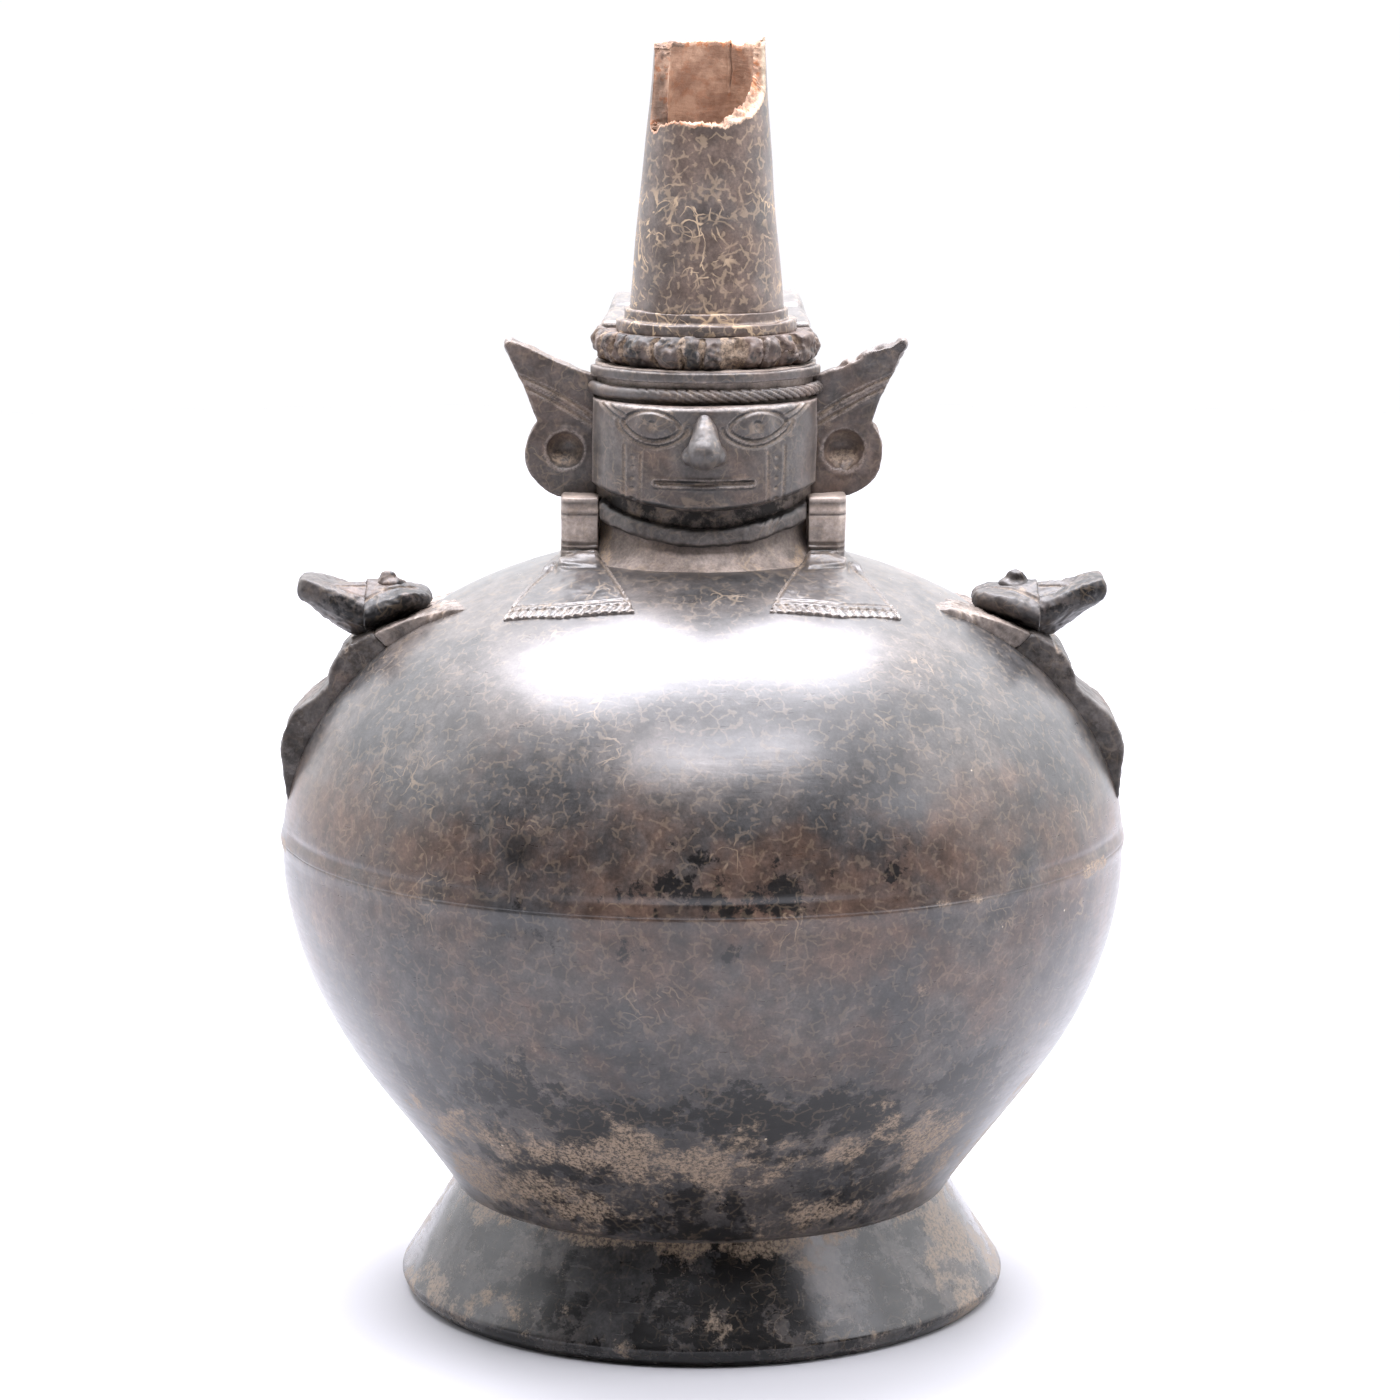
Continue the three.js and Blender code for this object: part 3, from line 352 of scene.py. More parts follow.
def clay(shape, name, grain, soften):
    """Solid clay: one even skin over the whole shape, its edges rubbed soft."""
    mesh = as_mesh(shape, name)
    piece = bpy.data.objects.new(name, mesh)
    bpy.context.scene.collection.objects.link(piece)
    for kind, settings in (
        ("REMESH", {"mode": "VOXEL", "voxel_size": grain, "use_smooth_shade": True}),
        ("SMOOTH", {"factor": 0.5, "iterations": soften}),
    ):
        modifier = piece.modifiers.new(kind.title(), kind)
        for key, value in settings.items():
            setattr(modifier, key, value)
    graph = bpy.context.evaluated_depsgraph_get()
    result = bpy.data.meshes.new_from_object(piece.evaluated_get(graph))
    result.name = name
    bpy.data.objects.remove(piece)
    bpy.data.meshes.remove(mesh)
    return result


# Hand work on a finished skin

# The plane that a drawing lies in, and the way that its clay faces
FROM_FRONT = ((0, 2), (0, -1, 0))
FROM_ABOVE = ((0, 1), (0, 0, 1))
FROM_BELOW = ((0, 1), (0, 0, -1))


def distance_to(flat, line):
    """How far each place of a plane is from a line of straight stretches."""
    nearest = np.full(len(flat), np.inf)
    for start, end in zip(line, line[1:]):
        start = np.array(start, float)
        way = np.array(end, float) - start
        share = np.clip((flat - start) @ way / max(way @ way, 1e-9), 0, 1)
        nearest = np.minimum(nearest, np.linalg.norm(flat - start - share[:, None] * way, axis=1))
    return nearest


def towards(mesh, facing):
    """The share of each point's skin that is turned to the hand that draws on it."""
    return smoothstep(normals_of(mesh) @ np.array(facing, float), 0.1, 0.4)


def deepen(mesh, name, values):
    write_marks(mesh, **{name: np.maximum(read_mark(mesh, name), values)})


def incise(mesh, lines, width, depth, seen=FROM_FRONT, burr=0.3):
    """Lines drawn into leather-hard clay: a round groove with a low burr along both sides."""
    axes, facing = seen
    flat = points_of(mesh)[:, list(axes)]
    nearest = np.min([distance_to(flat, line) for line in lines], axis=0)
    near = towards(mesh, facing)
    groove = bump(nearest, width * 0.5) * near
    ridge = bump(nearest - width, width * 0.4) * near
    swell(mesh, -depth * (groove - burr * ridge))
    deepen(mesh, "cut", groove)


def press(mesh, places, radius, depth, seen=FROM_FRONT, mark="cut"):
    """Round dots pressed into the clay, or raised where the depth is negative."""
    axes, facing = seen
    flat = points_of(mesh)[:, list(axes)]
    nearest = np.min([np.linalg.norm(flat - np.array(place, float), axis=1) for place in places], axis=0)
    pit = bump(nearest, radius, 4) * towards(mesh, facing)
    swell(mesh, -depth * pit)
    if mark:
        deepen(mesh, mark, pit)


def roughen(mesh, *lumps, where=1.0):
    """Lumps all over the skin, or as much as the share says: (size, height, seed) of each kind."""
    for size, height, seed in lumps:
        swell(mesh, ripple(points_of(mesh), size, seed) * height * where)


def above_dome(points):
    """The height of each point over the dome's surface, and the way straight off that surface."""
    scaled = points - np.array([0, 0, SEAM])
    radii = np.array([DOME_RADIUS, DOME_RADIUS, DOME_HEIGHT])
    size = np.linalg.norm(scaled / radii, axis=1)
    away = scaled / radii ** 2
    length = np.linalg.norm(away, axis=1)
    return (size - 1) * size / np.maximum(length, 1e-9), away / length[:, None]


def outside_neck(points):
    """The distance of each point from the neck's column, and the way straight out of it."""
    radius = off_axis(points)
    away = np.column_stack([points[:, 0], points[:, 1], np.zeros(len(points))])
    return radius - NECK_RADIUS, away / np.maximum(radius, 1e-9)[:, None]


def lute(mesh, carrier, reach=0.8, sink=1.1):
    """Presses the seat of a piece into what carries it, so that no gap is left at the join."""
    points = points_of(mesh)
    height, away = carrier(points)
    share = np.clip(1 - height / reach, 0, 1) * (height > -reach * 2)
    move_points(mesh, points - away * (sink * share)[:, None])


def smoothed(points, edges, rounds):
    """The points after some rounds of drawing each towards the middle of its neighbours."""
    count = np.bincount(edges.ravel(), minlength=len(points))[:, None]
    for _ in range(rounds):
        total = np.column_stack([
            np.bincount(edges[:, 0], points[edges[:, 1], axis], len(points))
            + np.bincount(edges[:, 1], points[edges[:, 0], axis], len(points))
            for axis in range(3)
        ])
        points = points * 0.5 + total / np.maximum(count, 1) * 0.5
    return points


def mark_wear(mesh, rounds, size):
    """Marks the hollows, where dirt stays and broken clay is drawn darker, and the edges, which rub pale and
    carry a painted highlight.
    """
    points = points_of(mesh)
    edges = np.empty(len(mesh.edges) * 2, int)
    mesh.edges.foreach_get("vertices", edges)
    drawn = smoothed(points, edges.reshape(-1, 2), rounds)
    rise = np.einsum("ij,ij->i", drawn - points, normals_of(mesh)) / size
    write_marks(mesh, hollow=rise, edge=-rise)


def uneven(points):
    """How far the belly, shaped by hand in its mould, swells out or falls in at each point."""
    free = smoothstep(points[:, 2], WAIST, WAIST + 16) * smoothstep(NECK_SEAT - points[:, 2], 2, 12)
    out = 0.5 * ripple(points, 46, 3) + 0.16 * ripple(points, 17, 4)
    for place, reach, depth in HOLLOWS:
        out -= depth * bump(np.linalg.norm(points - np.array(place), axis=1), reach)
    return out * free


def lean(points):
    share = np.clip((points[:, 2] - LEAN_FROM) / (SPOUT_TOP - LEAN_FROM), 0, 1)
    points[:, 0] += LEAN * share ** 0.8
    return points


def finish(mesh, name, nodes, material, wear_rounds=8, wear_size=0.12):
    """Makes a mesh in millimetres a piece of the bottle, in metres, in the place of its CAD nodes."""
    move_points(mesh, lean(points_of(mesh)))
    mark_wear(mesh, wear_rounds, wear_size)
    mesh.transform(Matrix.Scale(MM, 4))
    mesh.shade_smooth()
    mesh.name = name
    if not mesh.materials:
        mesh.materials.append(material)
    piece = bpy.data.objects.new(name, mesh)
    bpy.context.scene.collection.objects.link(piece)
    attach(piece, "root")
    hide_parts(*nodes)


# Materials

# Settings that stand often: a range with soft ends, and a mix of two colours
SOFT = {"interpolation_type": "SMOOTHSTEP"}
RGBA = {"data_type": "RGBA", "out": 2}


def add(tree, kind, inputs=(), out=0, **settings):
    """Adds a shader node and gives one of its outputs.

    A kind in capitals is the operation of a Math node. The inputs are values, or sockets to link,
    in the node's order or by their names.
    """
    if kind.isupper():
        kind, settings["operation"] = "Math", kind
    made = tree.nodes.new(f"ShaderNode{kind}")
    for key, value in settings.items():
        setattr(made, key, value)
    for key, value in inputs.items() if isinstance(inputs, dict) else enumerate(inputs):
        if isinstance(value, bpy.types.NodeSocket):
            tree.links.new(value, made.inputs[key])
        else:
            made.inputs[key].default_value = value
    return made.outputs[out] if len(made.outputs) else None


def blotches(place, size, detail=3.0, roughness=0.55):
    """The inputs of a noise whose blotches are about that many millimetres across."""
    return {"Vector": place, "Scale": 1 / (size * MM), "Detail": detail, "Roughness": roughness}


def layered(tree, colour, *layers):
    """A colour with others laid over it in turn: (share, colour) pairs."""
    for share, over in layers:
        colour = add(tree, "Mix", {0: share, 6: colour, 7: over}, **RGBA)
    return colour


def strayed(tree, place, size, reach, seed):
    """The place pushed about at random, so that a pattern read there wanders."""
    shifted = add(tree, "VectorMath", (place, (seed, seed * 0.7, -seed)), operation="ADD")
    wander = add(tree, "TexNoise", {"Vector": shifted, "Scale": 1 / (size * MM), "Detail": 3.0}, "Color")
    centred = add(tree, "VectorMath", (wander, (0.5,) * 3), operation="SUBTRACT")
    push = add(tree, "VectorMath", {0: centred, "Scale": reach * MM}, operation="SCALE")
    return add(tree, "VectorMath", (shifted, push), operation="ADD")


def rootlets(tree, place, pitch, width, seed, broken):
    """Thin broken lines that wander and fork, as the marks that rootlets leave on buried pots."""
    place = strayed(tree, place, pitch * 0.5, pitch * 0.4, seed)
    cells = add(
        tree, "TexVoronoi", {"Vector": place, "Scale": 1 / (pitch * MM)}, "Distance",
        feature="DISTANCE_TO_EDGE",
    )
    line = add(tree, "MapRange", (cells, width / pitch * 0.3, width / pitch, 1.0, 0.0), **SOFT)
    breaks = add(tree, "TexNoise", blotches(place, pitch * 0.85, 1.0))
    return add(tree, "MULTIPLY", (line, add(tree, "MapRange", (breaks, broken, broken + 0.05), **SOFT)))


def long_root(tree, place, size, width, seed):
    """A long thin line that curls: the places where a noise has its middle value."""
    place = strayed(tree, place, 4.0, 2.0, seed)
    level = add(tree, "SUBTRACT", (add(tree, "TexNoise", blotches(place, size, 1.0)), 0.5))
    line = add(tree, "MapRange", (add(tree, "ABSOLUTE", (level,)), width * 0.3, width, 1.0, 0.0), **SOFT)
    breaks = add(tree, "TexNoise", blotches(place, size * 0.4, 1.0))
    return add(tree, "MULTIPLY", (line, add(tree, "MapRange", (breaks, 0.5, 0.56), **SOFT)))


def patches(tree, place, size, mark, share, bias, soft):
    """Patches with ragged, speckled edges, which spread where the mark is strong."""
    bias = add(tree, "ADD", (add(tree, "MULTIPLY", (mark, share)), bias))
    value = add(tree, "ADD", (add(tree, "TexNoise", blotches(place, size, 10.0, 0.72)), bias))
    return add(tree, "MapRange", (value, 0.6, 0.6 + soft), **SOFT)


def new_material(name, marks):
    """An empty material, with its tree, the place that its patterns read, and the marks."""
    material = bpy.data.materials.new(name)
    material.use_nodes = True
    tree = material.node_tree
    tree.nodes.clear()
    place = add(tree, "TexCoord", out="Object")
    return material, tree, place, [add(tree, "Attribute", out="Fac", attribute_name=mark) for mark in marks]


@dataclass
class Ware:
    """What sets one patch of the burnished ware apart from the next.

    Rootlet marks and how bare of them it is, soil, the shader's roughness as its gloss, brown
    warmth, the depth of the mottling, soil in cut lines, a film of dust that in places is painted
    light, and the polish's shine.
    """

    roots: float = 0.2
    bare: float = 0.42
    soil: float = 0.0
    gloss: float = 0.3
    warmth: float = 0.0
    depth: float = 1.1
    lines: float = 0.4
    dust: float = 0.0
    shine: float = 0.5


def burnished_blackware(name, ware, colours):
    """Smoke-fired earthenware, pressed in a mould and burnished with a pebble while leather hard.

    It shows clouded greys and browns with ragged smoke-black blotches, a shine with fine pebble
    strokes, pale tan marks of rootlets from the ground, and dull soil in speckled patches. Its marks
    also paint light and shade: painted shade in near black and in dark bands, and painted light as a
    pale film and pale edges.
    """
    material, tree, place, (warm, smoke, dust, clean, stain, hollow, cut, edge, burn) = new_material(
        name, ("warm", "smoke", "dust", "clean", "stain", "hollow", "cut", "edge", "burn"),
    )
    cloud, mottle, grain, air, spread, crumbs = (
        add(tree, "TexNoise", blotches(place, *noise)) for noise in (
            (26.0, 6.0, 0.62), (5.0, 8.0, 0.7), (0.6, 3.0, 0.6), (17.0, 6.0, 0.62), (21.0, 3.0, 0.6),
            (0.7, 4.0, 0.75),
        )
    )

    # Two greys in clouds, brown where air reached the clay, smoke-black blotches, and a film of dry
    # earth that no cloth took off, thin on the high places. The smoke mark also spreads the black as
    # painted shade by the seam, and the dust mark also lays the pale film as painted light
    warmth = add(tree, "ADD", (add(tree, "MULTIPLY", (warm, 0.3)), ware.warmth))
    air = add(tree, "ADD", (air, warmth))
    black = patches(tree, place, 15.0, smoke, 0.2, -0.07, 0.045)
    thin = add(tree, "MapRange", (cloud, 0.62, 0.38, 0.6, 1.3), **SOFT)
    film = add(tree, "MULTIPLY", (thin, add(tree, "ADD", (dust, ware.dust))), use_clamp=True)
    colour = layered(
        tree, colours["slate"],
        (add(tree, "MapRange", (cloud, 0.4, 0.62), **SOFT), colours["grey"]),
        (add(tree, "MapRange", (air, 0.62, 0.92), **SOFT), colours["brown"]),
        (add(tree, "MULTIPLY", (black, 0.95)), colours["black"]),
        (film, colours["rubbed"]),
    )
    coarse = add(tree, "MapRange", (mottle, 0.34, 0.66, 1 - 0.3 * ware.depth, 1 + 0.3 * ware.depth), **SOFT)
    speckle = add(tree, "MULTIPLY", (coarse, add(tree, "MapRange", (grain, 0.3, 0.7, 0.84, 1.16), **SOFT)))
    tint = add(tree, "CombineColor", (speckle, speckle, speckle))
    colour = add(tree, "Mix", {0: 1.0, 6: colour, 7: tint}, blend_type="MULTIPLY", **RGBA)

    # Marks of rootlets, dense in places and missing in others, with short fibres between them
    growth = add(tree, "MapRange", (spread, ware.bare, ware.bare + 0.16), **SOFT)
    growth = add(tree, "SUBTRACT", (growth, clean), use_clamp=True)
    roots = rootlets(tree, place, 11.0, 0.32, 3.1, 0.52)
    others = [rootlets(tree, place, 6.0, 0.22, 7.7, 0.54)]
    for size, width, seed in ((15.0, 0.007, 1.3), (9.0, 0.011, 4.1), (6.0, 0.014, 8.3), (11.0, 0.009, 6.2)):
        others.append(long_root(tree, place, size, width, seed))
    for other in others:
        roots = add(tree, "MAXIMUM", (roots, other))
    fibres = add(tree, "MULTIPLY", (rootlets(tree, place, 2.6, 0.26, 2.2, 0.48), 0.35))
    roots = add(tree, "MAXIMUM", (add(tree, "MULTIPLY", (roots, growth)), fibres))
    roots = add(tree, "MULTIPLY", (roots, ware.roots), use_clamp=True)

    # Soil: speckled patches where the ground held it, and in hollows and cut lines
    crumbs = add(tree, "MapRange", (crumbs, 0.38, 0.6), **SOFT)
    shifted = add(tree, "VectorMath", (place, (0.31, 0.2, 0.1)), operation="ADD")
    soil = patches(tree, shifted, 17.0, stain, 0.19, ware.soil - 0.06, 0.08)
    soil = add(tree, "MULTIPLY", (soil, add(tree, "MapRange", (crumbs, 0.0, 1.0, 0.12, 0.85), **SOFT)))
    hollow = add(tree, "MULTIPLY", (add(tree, "MapRange", (hollow, 0.15, 0.85), **SOFT), crumbs))
    cut = add(tree, "MULTIPLY", (cut, add(tree, "MapRange", (crumbs, 0.0, 1.0, 0.2, 1.0), **SOFT)))
    for held, share in ((hollow, 0.5), (cut, ware.lines)):
        soil = add(tree, "MAXIMUM", (soil, add(tree, "MULTIPLY", (held, share))))
    dull = add(tree, "MAXIMUM", (roots, soil), use_clamp=True)

    # Edges rub pale and carry a painted highlight as well, tiny chips show the body of the clay, and
    # the burn mark paints a pit black and lays painted shade in near black in shaded places
    rubbed = add(tree, "MULTIPLY", (add(tree, "MapRange", (edge, 0.3, 1.0), **SOFT), crumbs))
    cells = add(tree, "TexVoronoi", {"Vector": place, "Scale": 1 / (6.5 * MM)}).node.outputs
    near = add(tree, "MapRange", (cells["Distance"], 0.02, 0.055, 1.0, 0.0), **SOFT)
    drawn = add(tree, "SeparateColor", (cells["Color"],))
    chip = add(tree, "MULTIPLY", (near, add(tree, "MapRange", (drawn, 0.85, 0.89), **SOFT)))
    burnt = add(tree, "MULTIPLY", (burn, add(tree, "MapRange", (mottle, 0.4, 0.55, 0.4, 1.0), **SOFT)))
    colour = layered(
        tree, colour, (soil, colours["soil"]), (roots, colours["root"]),
        (add(tree, "MULTIPLY", (rubbed, 0.4)), colours["rubbed"]),
        (add(tree, "MULTIPLY", (chip, 0.8)), colours["chip"]),
        (add(tree, "MULTIPLY", (burnt, 0.96), use_clamp=True), srgb("0c0a09")),
    )

    # Pebble strokes run round the pot; soil and rootlet marks are dull and stand a little proud
    across, wide = (
        add(tree, "VectorMath", (place, (share, share, 1.0)), operation="MULTIPLY") for share in (0.12, 0.35)
    )
    stroke = add(tree, "TexNoise", blotches(across, 0.8, 3.0, 0.6))
    facets = add(tree, "TexNoise", blotches(wide, 5.0, 2.0))
    rough = add(tree, "ADD", (add(tree, "MULTIPLY", (stroke, 0.14)), ware.gloss - 0.07))
    rough = add(tree, "ADD", (rough, add(tree, "MULTIPLY", (dull, 0.3))))
    height = add(tree, "MULTIPLY", (stroke, 0.5))
    for relief, share in ((facets, 1.6), (grain, 0.3), (dull, 0.4), (chip, -1.5)):
        height = add(tree, "ADD", (height, add(tree, "MULTIPLY", (relief, share))))
    shader = add(tree, "BsdfPrincipled", {
        "Base Color": colour,
        "Roughness": rough,
        "IOR": 1.52,
        "Specular IOR Level": ware.shine,
        "Normal": add(tree, "Bump", {"Height": height, "Strength": 0.45, "Distance": 0.07 * MM}),
    })
    add(tree, "OutputMaterial", {"Surface": shader})
    return material


def broken_terracotta(name, colours, pitted):
    """Fired clay that was never burnished: the core at a break, or the wiped inside of a spout.

    It is dull orange-brown, granular, and has darker smoke stains. It is also drawn darker in its
    hollows, and the burn mark adds a painted shadow in a hollow of the break.
    """
    material, tree, place, (fresh, hollow, burn) = new_material(name, ("fresh", "hollow", "burn"))
    drawn_out = add(tree, "VectorMath", (place, (0.2, 0.2, 1.0)), operation="MULTIPLY")
    grit, blotch, flame, smoke, wiped = (
        add(tree, "TexNoise", blotches(*noise)) for noise in (
            (place, 0.6, 5.0, 0.7), (place, 5.0, 4.0, 0.6), (place, 2.4, 5.0, 0.7), (place, 7.0, 5.0, 0.65),
            (drawn_out, 0.8),
        )
    )
    fired = add(tree, "MULTIPLY", (add(tree, "MapRange", (flame, 0.52, 0.6), **SOFT), pitted))
    chips = add(tree, "MAXIMUM", (add(tree, "MapRange", (grit, 0.6, 0.8, 0.0, 0.5), **SOFT), fresh))
    smoky = add(tree, "MULTIPLY", (add(tree, "MapRange", (smoke, 0.52, 0.66), **SOFT), pitted))
    # Darker in the hollows, and near black where the burn mark lies: smoke on the left of the break, and a
    # painted shadow in the hollow at its foot
    dark = add(tree, "MAXIMUM", (add(tree, "MULTIPLY", (hollow, 0.6)), burn))
    colour = layered(
        tree, colours["core"],
        (add(tree, "MapRange", (blotch, 0.35, 0.65), **SOFT), colours["core_pale"]),
        (fired, colours["fired"]), (chips, colours["chip"]),
        (smoky, colours["smoke"]), (dark, colours["smoke"]),
    )
    height = add(tree, "ADD", (add(tree, "MULTIPLY", (grit, 0.5 + pitted)), wiped))
    shader = add(tree, "BsdfPrincipled", {
        "Base Color": colour,
        "Roughness": 0.86,
        "IOR": 1.5,
        "Normal": add(tree, "Bump", {"Height": height, "Strength": 0.7, "Distance": 0.16 * MM}),
    })
    add(tree, "OutputMaterial", {"Surface": shader})
    return material


def floor_paint(colour):
    """Matt studio paint: even, pale and without shine."""
    material = bpy.data.materials.new("Matt white studio paint")
    material.use_nodes = True
    shader = material.node_tree.nodes["Principled BSDF"]
    shader.inputs["Base Color"].default_value = (*colour, 1.0)
    shader.inputs["Roughness"].default_value = 0.95
    shader.inputs["Specular IOR Level"].default_value = 0.1
    return material


def settings_in(group):
    """The names of the settings that a property group holds."""
    return [name for name in group.bl_rna.properties.keys() if name not in {"rna_type", "name"}]


def clay_colours():
    clays = bpy.context.scene.bottle_clay
    return {name: (*getattr(clays, name), 1.0) for name in settings_in(clays)}


WARES = {
    "belly": Ware(roots=0.27, bare=0.53, soil=-0.01, depth=1.2),
    "foot": Ware(roots=0.1, bare=0.5, soil=0.03, gloss=0.25, warmth=-0.2, depth=1.3),
    "head": Ware(gloss=0.42, warmth=0.2, dust=0.07),
    "column": Ware(roots=0.3, soil=0.03, gloss=0.45, warmth=0.2, dust=0.1, shine=0.15),
    "crescent": Ware(roots=0.1, soil=0.03, gloss=0.5, depth=1.5, dust=0.12),
    "bands": Ware(gloss=0.33, warmth=0.05),
    "spout": Ware(roots=1.0, bare=0.38, gloss=0.38, warmth=0.32, depth=1.2, dust=0.14),
    "crown": Ware(soil=0.09, gloss=0.58, warmth=0.34, depth=1.5, lines=0.6),
    "ears": Ware(soil=0.07, gloss=0.5, warmth=0.26, depth=1.5, lines=0.7, dust=0.04),
    "figure": Ware(roots=0.1, soil=0.01, gloss=0.42, warmth=0.16, depth=1.5, lines=0.6, shine=0.26),
    "handle": Ware(roots=0.4, warmth=0.1, depth=1.0, dust=0.06),
}


def ware(kind):
    """The burnished ware of one patch of the bottle, made once."""
    name = f"Burnished blackware, {kind}"
    return bpy.data.materials.get(name) or burnished_blackware(name, WARES[kind], clay_colours())


# The vessel


def make_foot():
    """The ring foot: a straight flare to a lip close to the floor, cut back under it."""
    inner = FOOT_REST_RADIUS - FOOT_REST_WIDTH
    lip = (FOOT_RADIUS - 0.4, FOOT_LIP_LEVEL)
    flare = curve(
        (WAIST_RADIUS - 0.3, WAIST + 0.5), (WAIST_RADIUS + 2.5, WAIST - 4.2),
        (lip[0] - 4.4, lip[1] + 7.0), lip, 26,
    )
    under = curve(
        lip, (FOOT_RADIUS + 0.3, lip[1] - 1.1), (FOOT_RADIUS - 0.4, lip[1] - 2.6), (FOOT_REST_RADIUS, 0), 12,
    )
    inside = curve(
        (inner, 0), (inner + 0.4, WAIST * 0.4), (BASE_SEAT + 2.5, WAIST * 0.75), (BASE_SEAT, WAIST + 0.5), 16,
    )
    mesh = turned(spaced([*flare, *under[1:], *inside], 0.9), "foot")
    roughen(mesh, (26, 0.35, 1), (5, 0.07, 2), where=smoothstep(points_of(mesh)[:, 2], 0.4, 3))
    x, _, z = points_of(mesh).T
    sides = np.abs(x) / FOOT_RADIUS
    # The foot is darker in the middle, front and back, and holds more pale soil at its sides
    write_marks(
        mesh,
        stain=0.35 + 0.6 * smoothstep(z, WAIST - 4, WAIST) + 0.45 * smoothstep(sides, 0.45, 0.95),
        smoke=1.3 - 0.5 * smoothstep(sides, 0.4, 0.9),
    )
    finish(mesh, "foot", ["foot_ring"], ware("foot"), wear_size=0.3)


def bowl_profile():
    tall = SEAM - WAIST
    leave = Vector((math.cos(WAIST_ANGLE), math.sin(WAIST_ANGLE))) * tall * 0.3
    outside = curve(
        (WAIST_RADIUS, WAIST), (WAIST_RADIUS + leave.x, WAIST + leave.y),
        (BOWL_RADIUS, SEAM - tall * 0.475), (BOWL_RADIUS, SEAM - 0.4), 60,
    )
    lip = [(BOWL_RADIUS, SEAM - 0.06), (BOWL_RADIUS - 0.1, SEAM), (BOWL_RADIUS - 1.2, SEAM)]
    wall = DOME_RADIUS - WALL
    floor = WAIST - BOWL_BASE_DEPTH + WALL
    inside = curve((wall, SEAM), (wall, SEAM - tall * 0.6), (WAIST_RADIUS, floor), (0, floor), 24)
    under = [
        (BASE_SEAT * math.sin(turn), WAIST - BOWL_BASE_DEPTH * math.cos(turn))
        for turn in (index / 12 * math.pi / 2 for index in range(13))
    ]
    return [*under, *outside, *lip, *inside]


def seam_marks(mesh, sign):
    """Draws bowl and dome to one radius at the seam, and scrapes the join there by hand."""
    points = points_of(mesh)
    off = points[:, 2] - SEAM
    turn = np.arctan2(points[:, 1], points[:, 0])
    ring = np.column_stack([np.cos(turn), np.sin(turn), np.zeros(len(turn))]) * BOWL_RADIUS
    outer = off_axis(points) > DOME_RADIUS - 2
    patchy = smoothstep(ripple(ring, 42, 50), -0.4, 0.5)
    ledge = (BOWL_RADIUS - DOME_RADIUS) / 2 * sign * bump(off, 6)
    ridge = 0.5 * bump(off + 0.4, 1.7) * (1 - 0.4 * patchy)
    groove = 0.26 * bump(off - 2.6, 0.9) * patchy
    points[:, :2] *= (1 + (ledge + ridge - groove) * outer / BOWL_RADIUS)[:, None]
    move_points(mesh, points)
    soiled = smoothstep(ripple(ring, 30, 51), -0.1, 0.5) * smoothstep(np.abs(np.cos(turn)), 0.2, 0.8)
    streak = bump(off + 0.3 + 0.8 * ripple(ring, 9, 52), 1.5) * (0.3 + 1.1 * soiled)
    return outer, streak * outer


def make_bowl():
    """The lower half of the belly, up to the seam that the mould left."""
    profile = closer(spaced(bowl_profile(), 1.6, False), SEAM, 5, 0.35)
    mesh = turned(profile, "bowl", closed=False)
    outer, streak = seam_marks(mesh, -1)
    points = points_of(mesh)
    x, _, z = points.T
    outer |= (off_axis(points) > WAIST_RADIUS - 1) & (z > WAIST)
    swell(mesh, uneven(points) * outer)
    low = smoothstep(WAIST + 54 - z, 0, 44) * (1 - 0.5 * smoothstep(WAIST + 7 - z, 0, 4))
    # Painted shade: a dark band just under the seam, at front and back, laid through the smoke mark
    shade = bump(z - SEAM + 7, 6) * bump(x, 52, 4) * 0.85
    write_marks(
        mesh,
        stain=np.maximum(low * 1.2, streak) * outer,
        smoke=np.maximum(smoothstep(WAIST + 52 - z, 0, 26) * 1.25, shade) * outer,
        clean=0.7 * smoothstep(SEAM - 12 - z, 0, 16) * outer,
        warm=smoothstep(z, SEAM - 60, SEAM - 6) * outer * 0.85,
    )
    finish(mesh, "bowl", ["lower_bowl"], ware("belly"), wear_size=0.9)


def make_dome():
    """The upper half of the belly."""
    top = math.acos(NECK_ROOT / DOME_RADIUS)
    wall = DOME_RADIUS - WALL
    bore = math.acos(NECK_BORE / wall)

    def shell(radius, height, turn):
        return radius * math.cos(turn), SEAM + height * math.sin(turn)

    profile = [
        (DOME_RADIUS - 1.4, SEAM - 0.3), (DOME_RADIUS - 0.15, SEAM - 0.12), (DOME_RADIUS, SEAM - 0.04),
        *(shell(DOME_RADIUS, DOME_HEIGHT, top * index / 80) for index in range(1, 81)),
        (NECK_BORE, NECK_SEAT + 0.3),
        *(shell(wall, DOME_HEIGHT - WALL, bore * (1 - index / 30)) for index in range(31)),
    ]
    mesh = turned(closer(spaced(profile, 1.4), SEAM, 5, 0.35), "dome")
    _, streak = seam_marks(mesh, 1)
    points = points_of(mesh)
    x, _, z = points.T
    outer = above_dome(points)[0] > -1.5
    swell(mesh, uneven(points) * outer)
    spot = np.linalg.norm(points - np.array([-34.5, -76.5, SEAM + 11]), axis=1)
    # Painted shade: a dark band just over the seam, at front and back, laid through the smoke mark
    write_marks(
        mesh,
        stain=streak,
        warm=(1 - smoothstep(z, SEAM + 8, SEAM + 34)) * outer,
        smoke=(1 - smoothstep(z, SEAM + 4, SEAM + 20)) * outer * bump(x, 46, 4) * 0.8,
        burn=bump(spot, 3.4, 4),
    )
    finish(mesh, "dome", ["upper_dome"], ware("belly"), wear_size=0.9)


# The column of the head, with what is stacked on it


